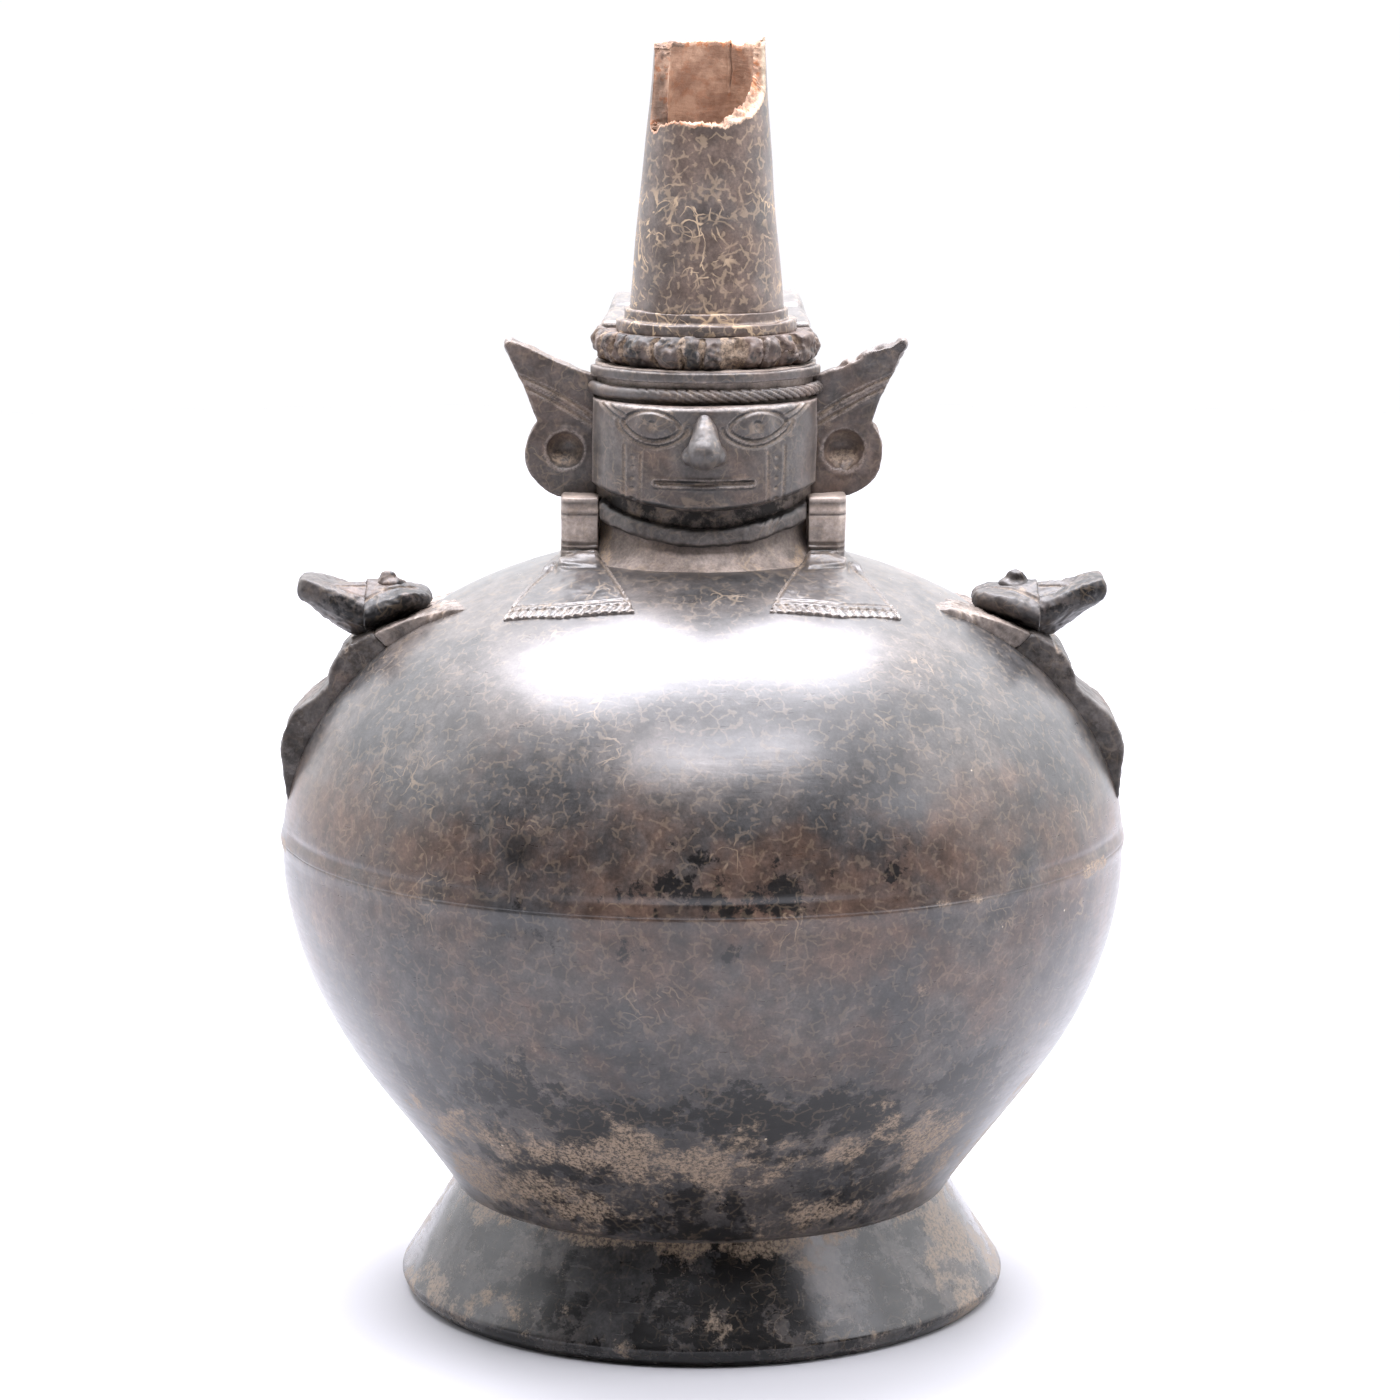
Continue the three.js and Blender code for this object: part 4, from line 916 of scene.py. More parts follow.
def make_neck():
    """The hollow column that carries the head, with its concave root on the shoulder."""
    root = NECK_SEAT - 0.9
    flare = curve(
        (NECK_ROOT + 1.2, root), (NECK_RADIUS + 2.2, NECK_SEAT + 0.6),
        (NECK_RADIUS, NECK_SEAT + 3), (NECK_RADIUS, NECK_SEAT + 7), 14,
    )
    profile = [*flare, (NECK_RADIUS, HEAD_TOP), (NECK_BORE, HEAD_TOP), (NECK_BORE, root)]
    mesh = turned(spaced(profile, 0.7), "column", 224)
    roughen(mesh, (7, 0.16, 7), (1.8, 0.06, 8), where=off_axis(points_of(mesh)) > NECK_RADIUS - 1)
    incise(mesh, [[(x, NECK_SEAT + 9.5 + 0.004 * x * x) for x in range(-18, 19, 3)]], 0.7, 0.14)
    x, y, z = points_of(mesh).T
    chin = MASK_LOW[2]
    # Painted shade in near black through the burn mark: a band on the column under the chin, and a thin line
    # under the crescent
    shade = bump(z - chin + 1.4, 3.0) * smoothstep(-y, 6, 14)
    under = bump(z - (chin - 6.5) + 0.2 - 0.012 * x ** 2, 1.1) * smoothstep(-y, 8, 14)
    beside = bump(np.abs(x) - 19.6, 1.3) * smoothstep(chin - z, -1, 2)
    write_marks(
        mesh,
        burn=np.maximum(shade * 2.6, under),
        stain=beside * smoothstep(-y, 2, 6) * 1.5,
        # A pale film on the front of the column: dust, and painted light
        dust=smoothstep(-y, 2, 12) * 0.55,
    )
    finish(mesh, "column", ["neck"], ware("column"), wear_size=0.25)


def make_crown():
    """The beaded roll: uneven lumps pressed side by side, chipped along the top."""
    beads = 24
    low, high = HEAD_TOP - 0.2, CROWN_TOP
    tall = high - low
    radius = CROWN_RADIUS + 0.4
    profile = [
        (SPOUT_BORE, low), (COLLAR_RADIUS + 1.0, low), (radius - 1.6, low + tall * 0.12),
        (radius - 0.3, low + tall * 0.35), (radius, low + tall * 0.6), (radius - 0.7, low + tall * 0.86),
        (radius - 2.0, high), (COLLAR_RADIUS + 0.4, high - 0.1), (SPOUT_BORE, high),
    ]
    mesh = turned(spaced(rounded(profile, 0.6), 0.4), "crown", beads * 22)
    points = points_of(mesh)
    turn = np.arctan2(points[:, 1], points[:, 0]) / math.tau * beads
    turn += 0.22 * np.sin(turn * 1.9) + 0.16 * np.sin(turn * 3.3 + 1)
    number = np.floor(turn)
    within = turn - number
    notch = bump(np.minimum(within, 1 - within), 0.13)
    fat = lattice(number.astype(np.int64)[:, None] * np.array([1, 0, 0]), 5) * 0.6
    across = off_axis(points)
    outward = smoothstep(across, COLLAR_RADIUS + 0.8, radius - 0.8)
    points[:, :2] *= (1 + (fat * 0.5 - notch * 1.9) * outward / np.maximum(across, 1))[:, None]
    points[:, 2] += fat * 0.45 * outward * (points[:, 2] > low + tall * 0.5)
    move_points(mesh, points)
    write_marks(mesh, stain=notch * outward * 1.7, smoke=(1 - notch) * 0.75)
    roughen(mesh, (2.2, 0.75, 9), (0.9, 0.34, 10), where=outward)
    finish(mesh, "crown", ["crown_roll"], ware("crown"), 5, 0.2)


def make_collar():
    """The stepped collar between the crown and the spout."""
    foot = CROWN_TOP - 0.2
    corners = [
        (SPOUT_BORE, foot), (COLLAR_RADIUS, foot), (COLLAR_RADIUS, COLLAR_STEP),
        (COLLAR_STEP_RADIUS, COLLAR_STEP + 0.1), (COLLAR_STEP_RADIUS, COLLAR_TOP), (SPOUT_BORE, COLLAR_TOP),
    ]
    mesh = turned(spaced(rounded(corners, 0.45), 0.4), "collar", 224)
    outer = smoothstep(off_axis(points_of(mesh)), SPOUT_BORE + 1, COLLAR_STEP_RADIUS - 0.6)
    roughen(mesh, (8, 0.3, 11), (1.6, 0.12, 12), where=outer)
    finish(mesh, "collar", ["spout_collar"], ware("spout"), 6, 0.1)


# The top of the spout: (turn from the front, outer level, inner level), turns to the right, levels
# from the whole rim
RIM = SPOUT_TOP - 1.3
BROKEN_EDGE = (
    (-180, 0, -0.1), (-110, -0.2, -0.1), (-84, -0.1, -0.3), (-77, -1.2, -0.6), (-74.5, -4.0, -2.2),
    (-73, -15.0, -12.5), (-68, -16.8, -17.8), (-60, -17.6, -19.0), (-50, -15.8, -17.2),
    (-34, -15.3, -15.7), (-10, -15.6, -15.4), (12, -15.9, -15.2), (28, -15.2, -13.4),
    (44, -13.9, -11.4), (58, -12.3, -9.6), (68, -10.6, -7.6), (75, -8.4, -5.6), (79, -4.4, -3.6),
    (82, -0.4, -1.8), (86, 1.3, -0.6), (93, 1.2, -0.4), (98, 0.2, -0.5), (118, -0.2, -0.4),
    (140, -0.8, -0.9), (152, -0.1, -0.2), (180, 0, -0.1),
)


def make_spout():
    """The tapered spout, with its front broken away and a shard left standing at the right."""
    foot = COLLAR_TOP - 0.5
    tall = SPOUT_TOP - foot
    outside = curve(
        (SPOUT_FOOT_RADIUS, foot), (SPOUT_FOOT_RADIUS - 1.2, foot + tall * 0.25),
        (SPOUT_RIM_RADIUS + 1.2, foot + tall * 0.65), (SPOUT_RIM_RADIUS, foot + tall), 60,
    )
    radii, levels = zip(*outside)
    turns, outer_top, inner_top = np.array(BROKEN_EDGE).T
    # The columns crowd where the edge drops steeply
    shares = (0, 0.24, 0.29, 0.42, 0.62, 0.68, 0.78, 1)
    crowded = (-180, -78, -76, -67, 68, 77, 88, 180)
    chips = np.random.default_rng(7).normal(0, 1, (2, 721))

    def ragged(turn, which):
        calm = np.where(np.abs(turn) > 84, 0.4, 1.0)
        grains = np.interp(turn * 2 + 360, np.arange(721), chips[which])
        return calm * (0.22 * grains + 0.3 * np.sin(turn * 0.31 + which) * np.sin(turn * 0.11))

    def place(u, v):
        turn = np.interp(u % 1.0, shares, crowded)
        high = np.interp(turn, turns, RIM + outer_top) + ragged(turn, 0)
        low = np.interp(turn, turns, RIM + inner_top) + ragged(turn, 1)
        # Up the outside, over the edge, down the inside and back under the foot
        up, over, down, under = (
            np.clip((v - start) / length, 0, 1)
            for start, length in ((0, 0.52), (0.52, 0.1), (0.62, 0.36), (0.98, 0.02))
        )
        level = foot + (high - foot) * up + (low - high) * over - (low - foot) * down
        radius = np.interp(level, levels, radii) - SPOUT_WALL * (over - under)
        # On the left the inside still stands further round to the front than the outside
        angle = np.radians(turn - 90 + 16 * bump(turn + 74, 16) * (over - under))
        return np.column_stack([radius * np.cos(angle), radius * np.sin(angle), level])

    mesh = as_mesh(sleeve(420, 150, place, False), "spout")
    row = read_mark(mesh, "row")
    points = points_of(mesh)
    broken = bump(row - 0.57, 0.045, 4)
    roughen(mesh, (14, 0.2, 15))
    roughen(mesh, (1.7, 0.35, 13), (0.7, 0.22, 14), where=broken)
    incise(mesh, [[(4.4, RIM + 1), (4.1, RIM - 3), (4.5, RIM - 5.5), (4.2, RIM - 9)]], 0.4, 0.5)
    pit = np.linalg.norm(points - np.array([-6.8, -5.6, RIM - 15.6]), axis=1)
    sooty = broken * smoothstep(-points[:, 0], 4, 8) * smoothstep(ripple(points, 2.4, 41), -0.7, 0.5)
    lip = bump(row - 0.535, 0.02) * smoothstep(points[:, 0], -4, 3)
    # The burn mark lays smoke on the left of the break and a painted shadow in the hollow at its foot
    write_marks(
        mesh,
        burn=np.maximum(bump(pit, 3.0) * 1.2, sooty * 0.75),
        fresh=lip * smoothstep(ripple(points, 1.2, 40), -0.7, 0.1),
        clean=smoothstep(points[:, 2], foot + 22, foot + 30),
    )
    colours = clay_colours()
    mesh.materials.append(ware("spout"))
    mesh.materials.append(broken_terracotta("Terracotta, wiped inside", colours, 0.25))
    mesh.materials.append(broken_terracotta("Terracotta, broken core", colours, 0.8))
    for polygon in mesh.polygons:
        middle = sum(row[index] for index in polygon.vertices) / len(polygon.vertices)
        polygon.material_index = 0 if middle < 0.516 else 2 if middle < 0.625 else 1
    finish(mesh, "spout_tube", ["spout"], ware("spout"), 4, 0.2)


# The face: usual proportions, calm and even, in the incised manner of the ware

EYE_LEVEL = (MASK_LOW[2] + CROWN_TOP) / 2
MOUTH_LEVEL = MASK_LOW[2] + (EYE_LEVEL - MASK_LOW[2]) / 3
EYE_OFF = 10.5
FACE_SWELL = MASK_HIGH[0] * 1.02
FACE_BACK = MASK_HIGH[1]
FACE_DEPTH = FACE_BACK - MASK_LOW[1]
CHIN_DROP = 3.8


def almond(half_length, half_height, side, steps=16):
    """A pointed oval round an eye, its outer corner a little raised."""
    ring = []
    for index in range(steps * 2 + 1):
        turn = index / steps * math.pi
        x = math.cos(turn) * half_length
        z = math.sin(turn) * half_height * (1 - 0.25 * math.cos(turn) ** 2)
        ring.append((side * (EYE_OFF + x), EYE_LEVEL + z + 0.06 * x))
    return ring


def make_mask():
    """The convex mask: a plate with a curved chin, carved eyes, mouth and cheek bands."""
    edge = 1.3
    half, _, top = MASK_HIGH
    shape = bmesh.new()
    bmesh.ops.create_grid(shape, x_segments=170, y_segments=84, size=1)
    for vert in shape.verts:
        u = vert.co.x
        v = vert.co.y * 0.5 + 0.5
        # The points crowd towards the edges
        u = math.sin(u * math.pi / 2) * 0.25 + u * 0.75
        v = v * 0.75 + (0.5 - 0.5 * math.cos(v * math.pi)) * 0.25
        x = u * half
        chin = MASK_LOW[2] + CHIN_DROP * u * u
        z = chin + (top - chin) * v
        forward = FACE_DEPTH * math.sqrt(max(0, 1 - (x / FACE_SWELL) ** 2))
        gap = max(0.0, min(z - chin, top - z, half - abs(x), edge))
        vert.co = Vector((x, FACE_BACK - forward + edge - math.sqrt(edge ** 2 - (edge - gap) ** 2), z))
    grown = bmesh.ops.extrude_face_region(shape, geom=list(shape.faces), use_keep_orig=False)
    for vert in verts_in(grown["geom"]):
        vert.co.y = max(vert.co.y + 9, -NECK_RADIUS + 3) if abs(vert.co.x) < 18 else FACE_BACK + 2.5
    bmesh.ops.recalc_face_normals(shape, faces=shape.faces)
    mesh = as_mesh(shape, "mask")

    sockets = [(side * EYE_OFF, EYE_LEVEL) for side in (-1, 1)]
    press(mesh, sockets, 6.4, 0.5, mark=None)
    press(mesh, sockets, 3.3, -0.8, mark=None)
    incise(mesh, [almond(5.6, 3.0, side) for side in (-1, 1)], 0.62, 0.32)
    incise(mesh, [almond(7.0, 4.2, side)[16:33] for side in (-1, 1)], 0.62, 0.28)
    press(mesh, sockets, 1.1, 0.35)
    for side in (-1, 1):
        wing = [(side * x, EYE_LEVEL + z) for x, z in ((16.2, 0.4), (18.6, 1.6), (20.6, 3.4))]
        upper = [(x, z + 1.4) for x, z in wing]
        incise(mesh, [wing, upper], 0.55, 0.25)
        inner = [(side * 12.6, EYE_LEVEL - 5.2), (side * 12.9, MASK_LOW[2])]
        outer = [(side * 16.0, EYE_LEVEL - 4.2), (side * 15.9, MASK_LOW[2] + 1)]
        incise(mesh, [inner, outer], 0.45, 0.2)
        press(mesh, [(side * 14.4, EYE_LEVEL - 6.4 - 2.1 * index) for index in range(5)], 0.42, 0.25)
    incise(mesh, [[(-9.5, MOUTH_LEVEL), (9.5, MOUTH_LEVEL)]], 0.75, 0.5, burr=0.5)
    roughen(mesh, (6, 0.14, 17), (1.4, 0.045, 18))
    # Painted shade: the faces turned down, along the chin and the mask's lower edge, are laid near black
    write_marks(mesh, burn=smoothstep(-normals_of(mesh)[:, 2], 0.15, 0.4) * 2.5)
    finish(mesh, "mask", ["face_mask"], ware("head"), 6, 0.1)


def make_nose():
    """The hooked nose: a bridge, a bulb and two wings, pressed together and smoothed."""
    low, high = span("nose")
    half, tall = high[0], high[2] - low[2]
    top = Vector((0, high[1] - 0.4, high[2] - 2.0))
    tip = Vector((0, low[1] + 4.4, low[2] + tall * 0.32))
    lumps = []
    for share in (index / 6 for index in range(7)):
        place = top.lerp(tip, share)
        place.y -= 1.5 * share * (1 - share)
        lumps.append((place, (half * (0.34 + 0.4 * share), 2.2 + 1.8 * share, 2.0 + 1.6 * share)))
    for wing in (-1, 1):
        place = (wing * half * 0.56, low[1] + 6.4, low[2] + tall * 0.24)
        lumps.append((place, (half * 0.42, 3.0, tall * 0.18)))
    mesh = clay(balls(lumps), "nose_hook", 0.28, 16)
    press(mesh, [(wing * half * 0.42, low[1] + 5.6) for wing in (-1, 1)], 0.7, 0.6, FROM_BELOW)
    roughen(mesh, (2.5, 0.2, 19), (0.8, 0.06, 20))
    finish(mesh, "nose_hook", ["nose"], ware("head"), 6, 0.12)


def make_bands():
    """The plain fillet and the twisted cord across the forehead."""
    front = {"start": -math.pi + 0.24, "turn": math.pi - 0.48}
    low, high, outer, inner = HEADBAND_LOW[2], HEADBAND_HIGH[2], -HEADBAND_LOW[1], NECK_RADIUS - 0.8
    fillet = rounded([(inner, low), (outer, low), (outer, high), (inner, high)], 0.6)
    mesh = turned(spaced(fillet, 0.3), "fillet", 220, **front)
    roughen(mesh, (5, 0.16, 21), (1.2, 0.05, 22))
    finish(mesh, "fillet", ["headband"], ware("head"), 6, 0.1)

    middle = (CORD_LOW[2] + CORD_HIGH[2]) / 2
    thick = (CORD_HIGH[2] - CORD_LOW[2]) / 2
    centre = -CORD_LOW[1] - thick
    mesh = turned(arc((centre, middle), thick, 0, math.tau, 28, True), "cord", 420, **front)
    points = points_of(mesh)
    around = np.arctan2(points[:, 1], points[:, 0]) * centre
    twist = np.abs(np.sin((around + (points[:, 2] - middle) * 1.7) / 2.1 * math.pi))
    groove = bump(twist, 0.3) * smoothstep(ripple(points, 9, 36) + points[:, 0] / 20, -1.1, -0.1)
    swell(mesh, -groove * 0.5)
    write_marks(mesh, cut=groove * 0.6)
    roughen(mesh, (4, 0.15, 23))
    finish(mesh, "cord", ["cord_band"], ware("head"), 4, 0.12)


SPOOL_RADIUS = 9.2
SPOOL_PLACE = (EAR_HIGH[0] - 14.0, EAR_LOW[2] + SPOOL_RADIUS)
CUP_RADIUS = 3.7


def ear_outline():
    """The outline of the right ear from the front: a round spool with a broad wing over it."""
    x, level = SPOOL_PLACE
    spool = arc(SPOOL_PLACE, SPOOL_RADIUS, math.radians(-108), math.radians(150), 48)
    root = NECK_RADIUS - 2.4
    tip = (EAR_HIGH[0], EAR_HIGH[2])
    top = EAR_HIGH[2] - 7.8
    lower = curve(
        spool[-1], (x + 8.6, level + 11.5), (tip[0] - 3.2, tip[1] - 7.0), (tip[0] - 0.1, tip[1] - 1.0), 16,
    )
    upper = curve(
        (tip[0] - 1.2, tip[1] - 0.1), (tip[0] - 6.5, tip[1] - 1.4), (x + 3, top + 2.6), (root, top), 20,
    )
    return [*spool, *lower[1:], *upper, (root, level - SPOOL_RADIUS * 0.95)]


def make_ears():
    """The two winged ears, each with a cupped spool and two lines scored along the wing."""
    wide, deep, tall = EAR_HIGH - EAR_LOW
    for side, word in SIDES:
        shape = bmesh.new()
        front = [shape.verts.new((side * x, EAR_LOW[1] + 0.1, level)) for x, level in ear_outline()]
        pulled = bmesh.ops.extrude_face_region(shape, geom=[shape.faces.new(front)])["geom"]
        bmesh.ops.translate(shape, vec=(0, deep - 0.2, 0), verts=verts_in(pulled))
        bmesh.ops.recalc_face_normals(shape, faces=shape.faces)
        mesh = clay(shape, f"ear_{word}", 0.3, 10)

        # The cup, a thumb's print with soil at its foot
        points = points_of(mesh)
        forward = smoothstep(-normals_of(mesh)[:, 1], 0.2, 0.6)
        cup = (side * (SPOOL_PLACE[0] + 1.2), SPOOL_PLACE[1] + 0.4)
        off = np.linalg.norm(points[:, [0, 2]] - cup, axis=1) / (CUP_RADIUS + 0.4 * (side > 0))
        dish = np.clip(1 - off ** 2, 0, 1) ** 0.8 * forward
        points[:, 1] += 3.1 * dish - 0.35 * bump(off - 1.15, 0.2) * forward
        move_points(mesh, points)
        write_marks(mesh, stain=dish * smoothstep(cup[1] + 0.5 - points[:, 2], 0, 2.5) * 1.6)

        def place(u, v):
            return side * (EAR_LOW[0] + wide * u), EAR_LOW[2] + tall * v

        lower = [place(0.06, 0.47), place(0.30, 0.555), place(0.55, 0.64), place(0.80, 0.71)]
        upper = [place(0.06, 0.525), place(0.30, 0.62), place(0.55, 0.70), place(0.88, 0.785)]
        incise(mesh, [lower, upper], 0.62, 0.36)
        points = points_of(mesh)
        tip = bump(np.linalg.norm(points[:, [0, 2]] - place(1.0, 1.0), axis=1), 6.5)
        rim = smoothstep(normals_of(mesh)[:, 2], 0.3, 0.8) * smoothstep(np.abs(points[:, 0]), 24, 28)
        roughen(mesh, (1.9, 0.8, 24), where=np.maximum(tip, rim) if side > 0 else tip * 0.5)
        roughen(mesh, (5, 0.3, 25), (1.1, 0.07, 26))
        lute(mesh, outside_neck)
        finish(mesh, f"ear_{word}", [f"ear_wing_{word}"], ware("ears"), 7, 0.12)


def make_crescent():
    """The crescent under the chin, with short scores towards its right end."""
    mesh = clay(copy_of("necklace"), "crescent", 0.3, 6)
    lute(mesh, outside_neck, 1.0, 1.3)
    chin = MASK_LOW[2]
    scores = [[(x, chin - 6.4 + 0.012 * x * x), (x + 1.6, chin - 3.2 + 0.012 * x * x)]
              for x in (11.0, 12.6, 14.2)]
    incise(mesh, scores, 0.4, 0.15)
    points = points_of(mesh)
    points[:, 2] -= 1.1 * bump(points[:, 0], 15)
    move_points(mesh, points)
    roughen(mesh, (5, 0.2, 27), (1.2, 0.16, 28))
    # Painted shade: the faces turned up and down, under the chin and below the crescent, are laid dark
    write_marks(mesh, burn=smoothstep(np.abs(normals_of(mesh)[:, 2]), 0.35, 0.75))
    finish(mesh, "crescent", ["necklace"], ware("crescent"), 6, 0.12)


# The front of a hanging band's post, beside the neck
POST_FRONT = LAPPET_LOW[1] + 30


def settle(mesh):
    """Presses the panel of a hanging band down on the shoulder, to a low relief with soft edges."""
    points = points_of(mesh)
    height, away = above_dome(points)
    ahead = POST_FRONT - points[:, 1]
    flat = smoothstep(ahead, -1, 3) * smoothstep(3.2 - height, 0, 0.8)
    # The foot of the post runs out on the panel in a hollow curve
    aside = np.abs(points[:, 0])
    root = 4.2 * np.exp(-np.maximum(ahead, 0) / 3.2) * smoothstep(aside, 20.2, 21.6)
    root *= smoothstep(30 - aside, 0, 1.6)
    lower = np.where(height > 0.9, 0.38 + (height - 0.9) * 0.3 + root, height - 1.3)
    move_points(mesh, points + away * (flat * (lower - height) + uneven(points))[:, None])
    lute(mesh, above_dome, 0.5, 0.9)


def hem_line(side, inset):
    """The lower edge of a hanging band in plan, or a line that far inside it."""
    (left, low, _), right = LAPPET_LOW, LAPPET_HIGH[0]
    corners = ((left, low), (left + 14.6, low + 3.1), (right, low + 9.8))
    return [(side * (x - inset * 0.15), y + inset) for x, y in corners]


def make_hanging_bands():
    """The bands that hang beside the neck, each a scored post over a panel with a toothed hem."""
    left, low, _ = LAPPET_LOW
    right, _, top = LAPPET_HIGH
    teeth = 15
    for side, word in SIDES:
        name = f"hanging_band_{word}"
        mesh = clay(copy_of(f"lappet_{word}"), name, 0.36, 5)
        settle(mesh)
        lute(mesh, outside_neck, 0.8, 1.0)
        levels = [top - drop for drop in (0.9, 2.3, 8.2, 9.3, 11.9)]
        incise(mesh, [[(side * 20, level), (side * 30, level)] for level in levels], 0.5, 0.36)
        scored = read_mark(mesh, "cut")
        points = points_of(mesh)
        # The scored lines are drawn near black, with no soil in them, and the raised post takes a pale film:
        # dust, and painted light
        write_marks(mesh, burn=scored, cut=0 * scored, dust=smoothstep(above_dome(points)[0], 1.2, 5))
        points[:, 2] += 1.3 * smoothstep(points[:, 2], top - 2, top)
        move_points(mesh, points)
        hem, inner_hem, second_hem = (hem_line(side, inset) for inset in (0, 2.6, 4.4))
        incise(mesh, [inner_hem, second_hem], 0.5, 0.25, FROM_ABOVE)
        borders = [[(side * (left + 1.4), low + 4), (side * 20.8, POST_FRONT - 3)],
                   [(side * (right - 1.6), low + 12), (side * 30.2, POST_FRONT - 1)]]
        incise(mesh, borders, 0.6, 0.25, FROM_ABOVE)
        shift = side * 0.7
        cuts = []
        for share in ((index + 0.5) / teeth for index in range(teeth)):
            start, end = along(hem, share), along(inner_hem, share)
            cuts.append([(start[0] + shift, start[1]), (end[0] - shift, end[1])])
        incise(mesh, cuts, 0.55, 0.4, FROM_ABOVE)
        roughen(mesh, (5, 0.2, 29), (1.2, 0.05, 30))
        finish(mesh, name, [f"lappet_{word}"], ware("bands"), 6, 0.14)


def make_handle():
    """The broad strap behind the neck."""
    shape = copy_of("strap_handle")
    # Beside the collar it is drawn forward and down to the crown
    for side in (-1, 1):
        wedge = bmesh.ops.create_cube(shape, size=2)["verts"]
        for vert in wedge:
            back, top, outer = vert.co.y > 0, vert.co.z > 0, vert.co.x > 0
            level = (COLLAR_TOP + 1.1 if back else CROWN_TOP + 0.9) if top else CROWN_TOP - 1.6
            width = (STRAP_HALF - 4.6 if back and top else STRAP_HALF - 0.3) if outer else SPOUT_BORE + 2
            vert.co = (side * width, 24 if back else 2.5, level)
    bmesh.ops.recalc_face_normals(shape, faces=shape.faces)
    mesh = clay(shape, "strap", 0.7, 10)
    lute(mesh, above_dome, 1.2, 1.8)
    roughen(mesh, (16, 0.5, 31), (3, 0.1, 32))
    finish(mesh, "strap", ["strap_handle"], ware("handle"), wear_size=0.3)


# The two prone figures. They mirror each other, so places on them are told by the side, 1 or -1,
# and by the end of a piece that is nearer to the neck of the bottle or further from it


def ends(side, low, high):
    """A piece's inner and outer end across the bottle, its middle line, and half its width."""
    inner, outer = (low[0], high[0]) if side > 0 else (high[0], low[0])
    return inner, outer, (low[1] + high[1]) / 2, (high[1] - low[1]) / 2


def lobe(outline, spine, top, rim, dip, waist, fall=0.0):
    """A thick leaf that rises from a narrow waist, its top a low roof over the middle line.

    The outline and the spine's two ends are in plan. The roof falls by the dip towards both sides
    at the waist, and not at all at the tip, where the whole roof is lower by the fall. The rim is
    that thick. The waist is (x, level, radius).
    """
    spine = np.array(spine, float)
    closed = np.array([*outline, outline[0]])
    count = len(outline)
    half = np.abs(closed[:, 1] - spine[0, 1]).max()
    centre = np.array([waist[0], spine[0, 1]])

    def roof(plan):
        share = np.clip((plan[:, 0] - spine[0, 0]) / (spine[1, 0] - spine[0, 0]), 0, 1)
        aside = (np.abs(plan[:, 1] - spine[0, 1]) / half) ** 1.3
        return top - dip * aside * (1 - share) ** 1.2 - fall * share ** 2

    def place(u, v):
        index = (u % 1.0) * count
        edge = np.column_stack([np.interp(index, np.arange(count + 1), closed[:, axis]) for axis in (0, 1)])
        off = edge - centre
        off /= np.linalg.norm(off, axis=1)[:, None]
        foot = centre + waist[2] * off
        middle = np.column_stack([
            np.clip(edge[:, 0], *np.sort(spine[0, 0] + (spine[1, 0] - spine[0, 0]) * np.array([0, 0.8]))),
            np.full(len(edge), spine[0, 1]),
        ])
        # Up the underside, round the rim, and in over the top
        under, round_rim, over = (np.clip((v - low) / 0.33, 0, 1)[:, None] for low in (0, 0.33, 0.67))
        plan = foot + (edge - foot) * under
        plan += off * 0.9 * np.sin(round_rim * math.pi)
        plan += (middle - edge) * over * 0.97
        start = waist[1] + (roof(edge) - rim - waist[1]) * under[:, 0]
        level = np.where(v < 0.34, start, roof(edge) - rim * (1 - round_rim[:, 0]))
        return np.column_stack([plan, np.where(v > 0.66, roof(plan), level)])

    return sleeve(count * 5, 60, place)


def leaf(start, end, half_start, half_end, y, steps=14):
    """A leaf's outline in plan from one x to another, broad at the start and rounded at its end."""
    edge = []
    for index in range(steps + 1):
        turn = index / steps * math.pi / 2
        half = half_end + (half_start - half_end) * math.cos(turn)
        edge.append((start + (end - start) * math.sin(turn), half))
    return [*((x, y + half) for x, half in edge), *((x, y - half) for x, half in reversed(edge))]


def figure_head(side, low, high):
    """The head: a face that rises from the neck to a blunt chin."""
    chin, neck, middle, half = ends(side, low, high)
    outline = leaf(neck, chin, half - 0.6, 2.6, middle)
    waist = (neck + side * 0.4, low[2] - 1.4, 2.6)
    return lobe(outline, [(neck, middle), (chin, middle)], high[2] - 1.5, 3.5, 5.0, waist, 2.1)


def figure_hat(side, low, high):
    """The hat: a rounded lobe that rises up and back from the neck."""
    neck, tip, middle, half = ends(side, low, high)
    outline = leaf(neck - side * 0.8, tip, half - 0.2, 4.0, middle)
    waist = (neck + side * 0.4, low[2] - 4.6, 2.9)
    return lobe(outline, [(neck, middle), (tip, middle)], high[2] - 1.9, 4.6, 5.0, waist)


def figure_nose(side, low, high):
    """The nose: a smooth hump that spreads into the face at its foot."""
    x, middle, foot = (low[0] + high[0]) / 2 - side * 0.8, (low[1] + high[1]) / 2, low[2] - 3.2
    return balls([
        ((x, middle, foot), (3.5, 3.0, 1.9)),
        ((x + side * 0.4, middle, foot + 0.9), (2.2, 2.0, 2.4)),
    ])


def work_body(mesh, side, low, high):
    # Its upper end runs in under the arms, so that no notch is left there
    points = points_of(mesh)
    start = ends(side, low, high)[0]
    near = 1 - smoothstep((points[:, 0] - start) * side, 0, 3.5)
    points[:, 0] -= side * 2.2 * near
    points[:, 2] -= 0.6 * near
    # Its lower end is drawn out along the belly to a thin tip
    height, away = above_dome(points)
    tail = smoothstep(low[2] + 13 - points[:, 2], 0, 13)
    points -= away * (np.maximum(height, 0) * 0.75 * tail ** 1.5)[:, None]
    points[:, 2] -= 7.5 * tail
    points[:, 0] += side * 1.2 * tail
    move_points(mesh, points)
    belt = (low[0] + high[0]) / 2 - side * 3
    incise(mesh, [[(belt, low[1]), (belt, high[1])]], 0.8, 0.3, ((0, 1), (side * 0.8, 0, 0.6)))


